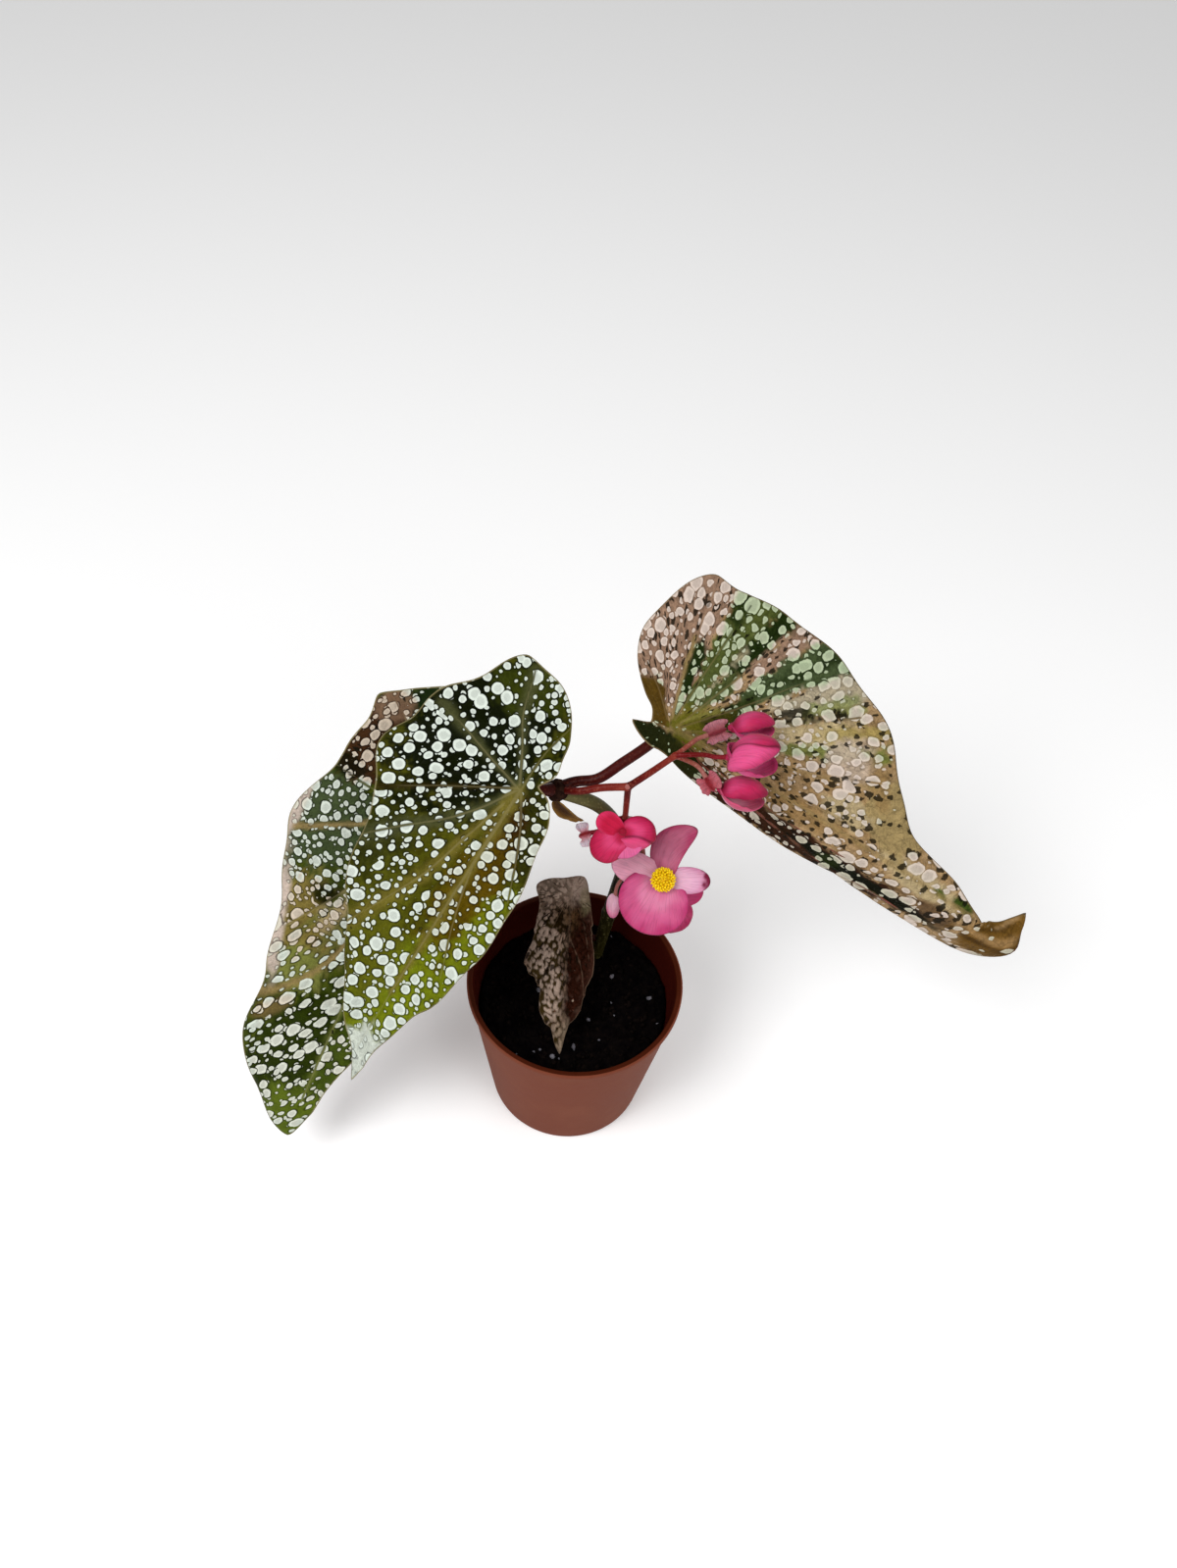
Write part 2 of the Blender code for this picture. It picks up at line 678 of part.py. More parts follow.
def make_pot(collection, cutters, parent):
    """A turned cup with a lip, a foot ring, a flat middle to stand on and drain holes in its channel."""
    lip_under = POT_HEIGHT - LIP_HEIGHT
    floor = CHANNEL_HEIGHT + POT_WALL
    floor_radius = wall_radius(floor) - POT_WALL
    rim_inside = RIM_RADIUS - LIP_OVERHANG - POT_WALL
    foot_inside = BASE_RADIUS - FOOT_WIDTH
    profile = (
        (0.0, floor),
        (floor_radius - CORNER_ROUNDING, floor),
        (floor_radius, floor + CORNER_ROUNDING),
        (rim_inside, POT_HEIGHT - EDGE_ROUNDING),
        (rim_inside + EDGE_ROUNDING, POT_HEIGHT),
        (RIM_RADIUS - EDGE_ROUNDING, POT_HEIGHT),
        (RIM_RADIUS, POT_HEIGHT - EDGE_ROUNDING),
        (RIM_RADIUS, lip_under + EDGE_ROUNDING),
        (RIM_RADIUS - LIP_OVERHANG, lip_under),
        (wall_radius(CORNER_ROUNDING), CORNER_ROUNDING),
        (BASE_RADIUS - 0.3 * CORNER_ROUNDING, 0.3 * CORNER_ROUNDING),
        (BASE_RADIUS - CORNER_ROUNDING, 0.0),
        (foot_inside, 0.0),
        (foot_inside - CHANNEL_SLOPE, CHANNEL_HEIGHT),
        (CENTRE_DISC_RADIUS + CHANNEL_SLOPE, CHANNEL_HEIGHT),
        (CENTRE_DISC_RADIUS, 0.0),
        (0.0, 0.0),
    )
    points = [(radius * MM, 0, height * MM) for radius, height in profile]
    edges = [(index, index + 1) for index in range(len(profile) - 1)]
    mesh = bpy.data.meshes.new("pot")
    mesh.from_pydata(points, edges, [])
    pot = placed("pot", mesh, collection, parent)
    turn = pot.modifiers.new("turned", "SCREW")
    turn.steps = turn.render_steps = ROUND_STEPS
    turn.use_merge_vertices = True
    turn.merge_threshold = 0.00001
    turn.use_smooth_shade = True
    for index in range(DRAIN_COUNT):
        angle = 2 * math.pi * index / DRAIN_COUNT
        bm = bmesh.new()
        radius = DRAIN_RADIUS * MM
        bmesh.ops.create_cone(
            bm, cap_ends=True, segments=10, radius1=radius, radius2=radius, depth=4 * floor * MM
        )
        cutter_mesh = bpy.data.meshes.new(f"drain_cutter_{index}")
        bm.to_mesh(cutter_mesh)
        bm.free()
        middle = (CENTRE_DISC_RADIUS + foot_inside) / 2
        at = (middle * math.cos(angle), middle * math.sin(angle), CHANNEL_HEIGHT)
        cutter = placed(f"drain_cutter_{index}", cutter_mesh, cutters, parent, at)
        cutter.hide_render = True
        cutter.display_type = "WIRE"
        hole = pot.modifiers.new(f"drain_{index}", "BOOLEAN")
        hole.operation = "DIFFERENCE"
        hole.object = cutter
    mesh.materials.append(new_material("terracotta plastic", TERRACOTTA, 0.55))
    return pot


def make_soil(collection, cutters, parent):
    """The filling of the pot, lumpy on top, with a plain hole for the cane."""
    bottom = CHANNEL_HEIGHT + POT_WALL + GAP
    edge = wall_radius(SOIL_TOP) - POT_WALL - SOIL_WALL_GAP
    foot = wall_radius(bottom) - POT_WALL - SOIL_WALL_GAP - SOIL_FOOT_INSET
    rows = SOIL_RINGS + SOIL_SIDE_ROWS + SOIL_BASE_ROWS
    corners = (0, SOIL_RINGS, SOIL_RINGS + SOIL_SIDE_ROWS, rows)

    def shape(u, v):
        angle = 2 * np.pi * u
        radius = np.interp(v * rows, corners, (0, edge, foot, 0))
        height = np.interp(v * rows, corners, (SOIL_TOP, SOIL_TOP, bottom, bottom))
        x, y = radius * np.cos(angle), radius * np.sin(angle)
        lump = np.sin(0.31 * x + 1.0) * np.cos(0.37 * y) + 0.6 * np.sin(0.8 * x + 0.5 * y) * np.sin(0.7 * y)
        top = np.clip(SOIL_RINGS - v * rows, 0, 1)
        return np.column_stack([x, y, height + SOIL_LUMP * lump * top])

    soil = placed("soil", mesh_from_grid("soil", shape, ROUND_STEPS, rows), collection, parent)
    foot_end, top_end = Vector(CANE_ROUTE[0]), Vector(CANE_ROUTE[1])
    down = (foot_end - top_end).normalized()
    route = (foot_end + down * GAP, top_end - down * 4 * SOIL_LUMP)
    curve = tube_curve("cane_hole", route, (CANE_RADII[0] + HOLE_CLEARANCE,) * 2, SOIL_TOP, 3)
    cutter = as_mesh(placed("cane_hole", curve, cutters, parent))
    cutter.name = "cane_hole"
    cutter.hide_render = True
    cutter.display_type = "WIRE"
    hole = soil.modifiers.new("cane_hole", "BOOLEAN")
    hole.operation = "DIFFERENCE"
    hole.object = cutter
    soil.data.materials.append(new_material("potting soil", SOIL_BLACK, 0.95))
    return soil


def make_cane(collection, parent):
    """The green stem, thicker at its nodes, with the knob that its leaves and flower stalk leave from."""
    curve = tube_curve("cane_stem", CANE_ROUTE, CANE_RADII, 4.5)
    stem = placed("cane_stem", curve, collection, parent)
    knob = ball("cane_knob", KNOB_RADIUS, 1.0, collection, parent, KNOB, None, 7)
    return fuse("cane", [stem, knob], collection, new_material("green stem", CANE_GREEN, 0.45))


def off_knob(towards):
    """The point just off the knob on the way to another point."""
    centre = Vector(KNOB)
    return tuple(centre + (Vector(towards) - centre).normalized() * (KNOB_RADIUS + GAP))


def make_stipule(collection, parent):
    """A dry pointed scale left under the knob."""
    outline = egg(STIPULE_LENGTH, STIPULE_WIDTH, STIPULE_BASE, STIPULE_TAPER, STIPULE_SPOKES)
    mesh = blade_mesh("stipule", outline, STIPULE_BEND, STIPULE_SPOKES, TEPAL_RINGS)
    towards = Vector(STIPULE_TOWARDS).normalized()
    root = Vector(KNOB) + towards * (KNOB_RADIUS + GAP + STIPULE_BASE)
    stipule = placed("stipule", mesh, collection, parent, root, facing(STIPULE_AHEAD, STIPULE_FACE))
    thicken(stipule, FLOWER_THICKNESS)
    mesh.materials.append(new_material("dry stipule", STIPULE_BROWN, 0.6))
    return stipule


def make_leaf(name, leaf, collection, parent):
    """One blade, set at its junction."""
    outline = smooth_loop(polar(leaf.outline), leaf.spokes)
    mesh = blade_mesh("leaf_" + name, outline, leaf.bend, leaf.spokes, leaf.rings, leaf.margin)
    blade = placed("leaf_" + name, mesh, collection, parent, leaf.junction, facing(leaf.ahead, leaf.face))
    thicken(blade, LEAF_THICKNESS)
    mesh.materials.append(new_material("leaf " + name, leaf.colour, 0.5))
    return blade


def make_petiole(name, leaf, collection, parent):
    """A leaf's stalk, which ends square under the blade's junction."""
    out = facing(leaf.ahead, leaf.face).col[2]
    end = Vector(leaf.junction) - out * PETIOLE_DROP[name]
    route = PETIOLE_ROUTES[name] + (tuple(end - out * PETIOLE_RUN_IN[name]), tuple(end))
    if name != "young":
        route = (off_knob(route[0]),) + route
    radius = PETIOLE_RADII[name]
    curve = tube_curve("petiole_" + name, route, [radius] * len(route), 3.5)
    petiole = placed("petiole_" + name, curve, collection, parent)
    curve.materials.append(new_material("petiole " + name, PETIOLE_RED, 0.4))
    return petiole


def stalk_end(name):
    """The last two points of a branch that ends at a named flower, ovary, bud or fork."""
    if name in FORKS:
        return (FORKS[name],)
    flower, _, place = name.partition(" ")
    if place == "heart":
        bloom = BLOOMS[flower]
        towards = -facing(bloom.right, bloom.face).col[2]
        end = Vector(bloom.heart) + towards * (bloom.heart_radius * HEART_SQUASH + GAP)
    elif place == "hinge":
        bloom = BLOOMS[flower]
        towards = -Vector(bloom.right).normalized()
        end = Vector(bloom.heart) + towards * (bloom.heart_radius + GAP)
    else:
        near, far = [Vector(point) for point in OVARIES.get(flower, (BUD_TOP, BUD_TIP))]
        towards = (near - far).normalized()
        end = near + towards * GAP
    return tuple(end + towards * RUN_IN), tuple(end)


def stalk_route(branch):
    """The points of a branch of the flower stalk."""
    start = off_knob(branch.by[0]) if branch.start == "knob" else FORKS[branch.start]
    return (start,) + branch.by + stalk_end(branch.end)


def make_flower_stalk(collection, parent):
    """The red stalk: its branches and pedicels in one body."""
    branches = []
    for index, branch in enumerate(STALK):
        route = stalk_route(branch)
        radii = np.linspace(branch.first_radius, branch.last_radius, len(route))
        curve = tube_curve(f"branch_{index}", route, radii, 4.5, 1)
        branches.append(placed(f"branch_{index}", curve, collection, parent))
    return fuse("flower_stalk", branches, collection, new_material("red stalk", STALK_RED, 0.4))


def ball(name, radius, squash, collection, parent, at=(0, 0, 0), turn=None, rings=5):
    """A rounded lump, squashed along its own Z."""
    bm = bmesh.new()
    bmesh.ops.create_uvsphere(bm, u_segments=8, v_segments=rings, radius=radius * MM)
    bmesh.ops.scale(bm, verts=bm.verts, vec=(1, 1, squash))
    mesh = bpy.data.meshes.new(name)
    bm.to_mesh(mesh)
    bm.free()
    return placed(name, mesh, collection, parent, at, turn)


def make_bloom(name, bloom, collection, parent):
    """A flower's tepals joined at its heart."""
    centre = placed(f"{name}_bloom", None, collection, parent, bloom.heart, facing(bloom.right, bloom.face))
    pieces = [ball(f"{name}_heart", bloom.heart_radius, HEART_SQUASH, collection, centre)]
    for index, tepal in enumerate(bloom.tepals):
        bearing, lift = math.radians(tepal.bearing), math.radians(tepal.lift)
        ahead = Vector((math.cos(bearing), math.sin(bearing), 0)) * math.cos(lift)
        ahead.z = math.sin(lift)
        face = Matrix.Rotation(math.radians(tepal.turn), 3, ahead) @ Vector((0, 0, 1))
        bend = Bend(
            curl_left=tepal.curl, curl_right=tepal.curl, rise=tepal.rise, droop=tepal.droop,
            back_droop=tepal.droop, sway=tepal.sway, length=tepal.length,
        )
        outline = egg(tepal.length, tepal.width, tepal.base, tepal.taper, TEPAL_SPOKES)
        mesh = blade_mesh(f"{name}_tepal_{index}", outline, bend, TEPAL_SPOKES, TEPAL_RINGS)
        piece = placed(f"{name}_tepal_{index}", mesh, collection, centre, (0, 0, 0), facing(ahead, face))
        thicken(piece, FLOWER_THICKNESS)
        pieces.append(piece)
    material = new_material(f"tepals {name}", bloom.colour, 0.4)
    return fuse(f"{name}_bloom_tepals", pieces, collection, material)


def make_stamens(collection, parent):
    """The yellow dome of anthers on the open flower, set by the golden angle."""
    bloom = BLOOMS["open"]
    turn = facing(bloom.right, bloom.face)
    at = Vector(bloom.heart) + turn.col[2] * (bloom.heart_radius + STAMEN_DOME_HEIGHT / 2)
    centre = placed("open_stamens", None, collection, parent, at, turn)
    squash = STAMEN_DOME_HEIGHT / 2 / STAMEN_DOME_RADIUS
    pieces = [ball("stamen_dome", STAMEN_DOME_RADIUS, squash, collection, centre)]
    for index in range(ANTHER_COUNT):
        share = (index + 0.5) / ANTHER_COUNT
        polar_angle = math.acos(1 - share)
        azimuth = index * GOLDEN_ANGLE
        out = Vector(
            (
                math.sin(polar_angle) * math.cos(azimuth),
                math.sin(polar_angle) * math.sin(azimuth),
                math.cos(polar_angle),
            )
        )
        spot = Vector((out.x, out.y, out.z * squash)) * ANTHER_REACH
        bm = bmesh.new()
        bmesh.ops.create_icosphere(bm, subdivisions=1, radius=ANTHER_RADIUS * MM)
        mesh = bpy.data.meshes.new(f"anther_{index}")
        bm.to_mesh(mesh)
        bm.free()
        pieces.append(placed(f"anther_{index}", mesh, collection, centre, spot))
    return fuse("open_bloom_stamens", pieces, collection, new_material("stamens", STAMEN_YELLOW, 0.5))


def make_ovary(name, ends, collection, parent):
    """A spindle with three thin wings."""
    start, end = Vector(ends[0]), Vector(ends[1])
    length = (end - start).length
    turn = facing(end - start, TOWARDS_VIEWER)
    centre = placed(f"{name}_ovary_centre", None, collection, parent, (start + end) / 2, turn)
    along_x = Matrix.Rotation(math.radians(90), 3, "Y")
    squash = length / 2 / OVARY_RADIUS
    pieces = [ball(f"{name}_spindle", OVARY_RADIUS, squash, collection, centre, turn=along_x)]
    outline = egg(WING_REACH, length * WING_SHARE, WING_ROOT, 0.15, WING_SPOKES)
    for index, angle in enumerate(WING_ANGLES):
        spin = Matrix.Rotation(math.radians(angle), 3, "X")
        mesh = blade_mesh(f"{name}_wing_{index}", outline, WING_BEND, WING_SPOKES, 2)
        root = spin @ Vector((0, WING_ROOT, 0))
        wing = placed(
            f"{name}_wing_{index}", mesh, collection, centre, root, spin @ facing((0, 1, 0), (0, 0, 1))
        )
        thicken(wing, FLOWER_THICKNESS)
        pieces.append(wing)
    return fuse(f"{name}_bloom_ovary", pieces, collection, new_material(f"ovary {name}", PALE_PINK, 0.45))


def make_bud(collection, parent):
    """A small closed bud that hangs on its pedicel."""
    top, tip = Vector(BUD_TOP), Vector(BUD_TIP)
    turn = facing(Vector(VIEW_RIGHT), tip - top)
    squash = (top - tip).length / 2 / BUD_RADIUS
    bud = ball("small_bud", BUD_RADIUS, squash, collection, parent, (top + tip) / 2, turn, 7)
    bud.data.shade_smooth()
    bud.data.materials.append(new_material("pale bud", PALE_PINK, 0.45))
    return bud


def main():
    """Builds the whole plant."""
    clear_scene()
    parts = new_collection("potted_begonia")
    cutters = new_collection("cutters", hidden=True)
    root = placed("begonia", None, parts)
    make_pot(parts, cutters, root)
    make_soil(parts, cutters, root)
    make_cane(parts, root)
    make_stipule(parts, root)
    for name, leaf in LEAVES.items():
        make_leaf(name, leaf, parts, root)
        make_petiole(name, leaf, parts, root)
    make_flower_stalk(parts, root)
    for name, bloom in BLOOMS.items():
        make_bloom(name, bloom, parts, root)
    make_stamens(parts, root)
    for name, ends in OVARIES.items():
        make_ovary(name, ends, parts, root)
    make_bud(parts, root)


main()
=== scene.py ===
"""A potted angel-wing begonia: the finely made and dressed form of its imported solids.

Shapes are in millimetres in the frame of the solids: the pot stands on Z = 0 round the Z axis, the viewer is
on the -Y side above it, and +X is to the right. A blade, which is a leaf, a tepal, a wing or a stipule, is an
outline in the flat round the point that it grows from, bent by a rule and then set in place: X runs ahead to
its tip, Y to its left and Z out of its face. Angles are in degrees.
"""

from __future__ import annotations

import logging
import math
from dataclasses import dataclass, field
from enum import Enum
from typing import Any, Callable, Iterable, Protocol

import bpy
import numpy as np
from mathutils import Matrix

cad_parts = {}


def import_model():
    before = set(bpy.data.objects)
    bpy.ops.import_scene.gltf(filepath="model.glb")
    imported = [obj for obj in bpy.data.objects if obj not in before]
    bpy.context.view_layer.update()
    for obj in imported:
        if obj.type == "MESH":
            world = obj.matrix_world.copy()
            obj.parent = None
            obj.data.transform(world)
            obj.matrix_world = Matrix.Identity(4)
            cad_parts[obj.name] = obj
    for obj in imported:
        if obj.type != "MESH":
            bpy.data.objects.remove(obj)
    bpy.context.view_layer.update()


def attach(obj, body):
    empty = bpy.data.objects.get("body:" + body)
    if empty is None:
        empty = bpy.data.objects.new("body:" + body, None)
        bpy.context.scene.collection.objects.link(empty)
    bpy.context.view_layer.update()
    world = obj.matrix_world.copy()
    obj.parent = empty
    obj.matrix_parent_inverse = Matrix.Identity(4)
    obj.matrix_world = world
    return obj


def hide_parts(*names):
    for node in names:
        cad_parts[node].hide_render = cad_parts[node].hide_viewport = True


LOG = logging.getLogger("begonia")

Array = np.ndarray
Point = tuple[float, float, float]
Pair = tuple[float, float]
Colour = tuple[float, float, float]

# Metres in a millimetre, and the body that every piece rides on.
MM = 0.001
BODY = "root"

# Millimetres in the unit of the UV map, how far from its root a blade is rolled and in how many readings,
# and the steepest slope across it, in radians.
FLAT_UNIT = 100.0
LONGEST_BLADE = 170.0
ROLL_STEPS = 3401
STEEPEST = 1.45

# How far behind the root a growing fold starts, the share of the reach where a margin's waves start, and
# the least reach that a tooth's depth is divided by.
GROWS_FROM = 4.0
WAVES_FROM = 0.45
LEAST_REACH = 12.0

# A distance beyond all others, how deep in the knob a stalk starts, the way to the right of the
# photograph, and a way that no tube starts along.
FAR = 1e9
SUNK = -1.2
RIGHTWARD = (0.995, 0.072, 0.06)
ASKEW = (0.3, 0.5, 0.81)


# Meshes


class Finish(Protocol):
    """Whatever makes a material."""

    def make(self) -> bpy.types.Material:
        """Makes it."""


def turned_over(faces: Array) -> Array:
    """Returns the faces with their corners the other way round."""
    return np.where(faces[:, 3:] < 0, faces[:, [0, 2, 1, 3]], faces[:, ::-1])


def fan(root: int, ring: Array) -> Array:
    """Returns the triangles between one point's number and those of a ring round it."""
    return np.column_stack([np.full(len(ring), root), ring, np.roll(ring, -1), np.full(len(ring), -1)])


def lattice(rings: Array) -> Array:
    """Returns the four-cornered faces between rings, which are rows of point numbers."""
    beside = np.roll(rings, -1, axis=1)
    return np.stack([rings[:-1], rings[1:], beside[1:], beside[:-1]], axis=-1).reshape(-1, 4)


@dataclass
class Sheet:
    """Points in millimetres, the faces between them and values at them, before they become a mesh.

    A face is a row of four point numbers, the last of which is -1 for a triangle. Slots holds each face's
    material number. Values holds arrays of numbers or colours by name, and "flat" holds the UV map.
    """

    points: Array
    faces: Array
    slots: Array
    values: dict[str, Array] = field(default_factory=dict)

    @staticmethod
    def of(points: Array, faces: Array, values: dict[str, Array] | None = None) -> Sheet:
        """Makes a sheet of one material."""
        return Sheet(points, faces, np.zeros(len(faces)), values or {})

    @staticmethod
    def joined(sheets: Iterable[Sheet]) -> Sheet:
        """Returns sheets that have the same values as one, unwelded."""
        parts = list(sheets)
        starts = np.cumsum([0] + [len(part.points) for part in parts[:-1]])
        faces = [np.where(part.faces < 0, -1, part.faces + start) for part, start in zip(parts, starts)]
        return Sheet(
            np.vstack([part.points for part in parts]),
            np.vstack(faces),
            np.concatenate([part.slots for part in parts]),
            {name: np.concatenate([part.values[name] for part in parts]) for name in parts[0].values},
        )

    def placed(self, at: Array | Point, axes: Array | None = None) -> Sheet:
        """Returns the sheet with its X, Y and Z turned to the columns of axes, and its origin moved."""
        turned = self.points if axes is None else self.points @ axes.T
        return Sheet(turned + np.asarray(at, float), self.faces, self.slots, self.values)

    def filled(self, like: Sheet, number: float = 0.0) -> Sheet:
        """Returns the sheet with the values that another one has, each the same number at every point."""
        count = len(self.points)
        values = {name: np.full((count, *value.shape[1:]), number) for name, value in like.values.items()}
        return Sheet(self.points, self.faces, self.slots, values)

    def outward(self) -> Sheet:
        """Returns the closed sheet with its faces turned outward, by the sign of the volume they hold."""
        first, second, third, last = (self.points[corner] for corner in self.faces.T)
        last = np.where(self.faces[:, 3:] < 0, third, last)
        volume = np.einsum("ij,ij->", first, np.cross(second, third) + np.cross(third, last))
        return self if volume >= 0 else Sheet(self.points, turned_over(self.faces), self.slots, self.values)

    def normals(self) -> Array:
        """Returns the unit normal at each point: the sum of the cross products of its faces' diagonals."""
        last = np.where(self.faces[:, 3] < 0, self.faces[:, 2], self.faces[:, 3])
        across = self.points[self.faces[:, 2]] - self.points[self.faces[:, 0]]
        crossed = np.cross(across, self.points[last] - self.points[self.faces[:, 1]])
        total = np.zeros_like(self.points)
        for corner in self.faces.T:
            real = corner >= 0
            np.add.at(total, corner[real], crossed[real])
        return total / np.maximum(np.linalg.norm(total, axis=1, keepdims=True), 1e-12)

    def to_object(self, name: str, materials: Iterable[bpy.types.Material] = ()) -> bpy.types.Object:
        """Makes the mesh object, with its place in its mesh, and links it to the scene.

        Args:
            name: The object's name.
            materials: Its materials, by slot number.

        Returns:
            The object.
        """
        mesh = bpy.data.meshes.new(name)
        corner = self.faces >= 0
        loops = self.faces[corner].astype(np.int32)
        starts = np.concatenate([[0], np.cumsum(corner.sum(axis=1))[:-1]]).astype(np.int32)
        mesh.vertices.add(len(self.points))
        mesh.vertices.foreach_set("co", (self.points * MM).astype(np.float32).ravel())
        mesh.loops.add(len(loops))
        mesh.loops.foreach_set("vertex_index", loops)
        mesh.polygons.add(len(starts))
        mesh.polygons.foreach_set("loop_start", starts)
        mesh.polygons.foreach_set("material_index", self.slots.astype(np.int32))
        mesh.polygons.foreach_set("use_smooth", np.ones(len(starts), bool))
        for key, value in self.values.items():
            if key == "flat":
                mesh.uv_layers.new(name=key).data.foreach_set("uv", value[loops].astype(np.float32).ravel())
            elif value.ndim == 2:
                colour = np.column_stack([value, np.ones(len(value))]).astype(np.float32)
                mesh.attributes.new(key, "FLOAT_COLOR", "POINT").data.foreach_set("color", colour.ravel())
            else:
                mesh.attributes.new(key, "FLOAT", "POINT").data.foreach_set("value", value.astype(np.float32))
        mesh.update(calc_edges=True)
        for material in materials:
            mesh.materials.append(material)
        made = bpy.data.objects.new(name, mesh)
        bpy.context.scene.collection.objects.link(made)
        return made


def dress(
    sheet: Sheet, name: str, finishes: Iterable[Finish], node: str | None
) -> bpy.types.Object:
    """Makes a piece that rides on the plant's body.

    Args:
        sheet: Its shape.
        name: Its name.
        finishes: Its finishes, by slot number.
        node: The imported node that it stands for, if any.

    Returns:
        The piece.
    """
    piece = sheet.to_object(name, [finish.make() for finish in finishes])
    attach(piece, BODY)
    if node:
        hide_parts(node)
    LOG.info("%s: %d points, %d faces", name, len(sheet.points), len(sheet.faces))
    return piece


# Curves and noise


def unit(vector: Array | Point) -> Array:
    """Returns the vector at length 1."""
    return np.asarray(vector, float) / np.linalg.norm(vector)


def facing(ahead: Array | Point, face: Array | Point) -> Array:
    """Returns the turn that takes X to ahead and Z as near to face as it can, as columns."""
    along, towards = unit(ahead), np.asarray(face, float)
    out = unit(towards - along * (towards @ along))
    return np.column_stack([along, np.cross(out, along), out])


def turned(axis: Array | Point, angle: float) -> Array:
    """Returns the matrix of a turn about an axis, which stays while the rest turns by the angle."""
    x, y, z = unit(axis)
    skew = np.array([[0, -z, y], [z, 0, -x], [-y, x, 0]])
    rad = math.radians(angle)
    return np.eye(3) + math.sin(rad) * skew + (1 - math.cos(rad)) * skew @ skew


def leaning(x: Array, y: Array, angle: float) -> tuple[Array, Array]:
    """Returns how far flat points are along a way that leans to the left by an angle, and beside it."""
    cos, sin = math.cos(math.radians(angle)), math.sin(math.radians(angle))
    return x * cos + y * sin, y * cos - x * sin


def heading(bearing: float, lift: float) -> Array:
    """Returns the unit vector at a bearing round Z from X and a lift out of their plane, both in radians."""
    return np.array([math.cos(bearing) * math.cos(lift), math.sin(bearing) * math.cos(lift), math.sin(lift)])


def hermite(knots: Array, slopes: Array, stations: Array, where: Array) -> Array:
    """Reads cubic pieces through knots: h00 p0 + h10 m0 + h01 p1 + h11 m1 on each piece.

    Args:
        knots: The points, a row each.
        slopes: The slope at each point.
        stations: The distance of each point along the curve.
        where: The distances to read at.

    Returns:
        A row for each distance.
    """
    piece = np.clip(np.searchsorted(stations, where, side="right") - 1, 0, len(stations) - 2)
    length = (stations[piece + 1] - stations[piece])[:, None]
    t = (where - stations[piece])[:, None] / length
    start = (1 + 2 * t) * (1 - t) ** 2 * knots[piece] + t * (1 - t) ** 2 * length * slopes[piece]
    end = t**2 * (3 - 2 * t) * knots[piece + 1] + t**2 * (t - 1) * length * slopes[piece + 1]
    return start + end


def travelled(points: Array) -> Array:
    """Returns the distance of each point along the line through them."""
    return np.concatenate([[0.0], np.cumsum(np.linalg.norm(np.diff(points, axis=0), axis=1))])


def smooth_route(points: Iterable[Iterable[float]], count: int) -> Array:
    """Reads evenly spaced points of a smooth curve, with slopes from the differences between neighbours."""
    knots = np.array([tuple(point) for point in points], float)
    stations = travelled(knots)
    return hermite(knots, np.gradient(knots, stations, axis=0), stations, np.linspace(0, stations[-1], count))


def smooth_loop(points: Array, count: int) -> Array:
    """Reads a closed smooth curve through flat points, sharp where it turns back.

    Args:
        points: The flat points, in order round the loop.
        count: How many points to return.

    Returns:
        Points evenly spaced along the curve, the last one the same as the first.
    """
    after = np.roll(points, -1, axis=0) - points
    before = np.roll(after, 1, axis=0)
    far, near = (np.linalg.norm(way, axis=1)[:, None] for way in (after, before))
    straight = (after * before).sum(axis=1, keepdims=True) / (far * near)
    slopes = (after / far * near + before / near * far) / (near + far) * (1 + straight) / 2
    stations = np.concatenate([[0.0], np.cumsum(far)])
    fine = np.linspace(0, stations[-1], 40 * len(points))
    curve = hermite(np.vstack([points, points[:1]]), np.vstack([slopes, slopes[:1]]), stations, fine)
    run = travelled(curve)
    even = np.linspace(0, run[-1], count + 1)
    return np.column_stack([np.interp(even, run, side) for side in curve.T])


def polar(pairs: Iterable[Pair]) -> Array:
    """Returns the flat points of pairs of a bearing and a reach."""
    bearing, reach = np.array(list(pairs), float).T
    return np.column_stack([reach * np.cos(np.radians(bearing)), reach * np.sin(np.radians(bearing))])


def ripple(x: Array, y: Array, seed: int, scale: float, waves: int = 12) -> Array:
    """Smooth noise of about -1 to 1: the scaled sum of sines of random directions, lengths and phases.

    Args:
        x: First coordinate.
        y: Second coordinate.
        seed: Which noise.
        scale: The middle wave length.
        waves: How many sines.

    Returns:
        The noise at each place.
    """
    draw = np.random.default_rng(seed)
    angle = draw.uniform(0, 2 * np.pi, waves)
    wave = 2 * np.pi * draw.uniform(0.6, 1.7, waves) / scale
    phase = draw.uniform(0, 2 * np.pi, waves)
    total = np.zeros_like(x)
    for turn, number, start in zip(angle, wave, phase):
        total = total + np.sin(number * (x * math.cos(turn) + y * math.sin(turn)) + start)
    return total / math.sqrt(waves)


def eased(value: Array, low: float, high: float) -> Array:
    """Returns 0 below low, 1 above high and 3t^2 - 2t^3 between."""
    share = np.clip((value - low) / (high - low), 0, 1)
    return share * share * (3 - 2 * share)


def blend(first: Array | Colour, second: Array | Colour, share: Array) -> Array:
    """Returns first (1 - share) + second share at each point."""
    part = share[:, None]
    return np.array(first) * (1 - part) + np.array(second) * part


# Blades


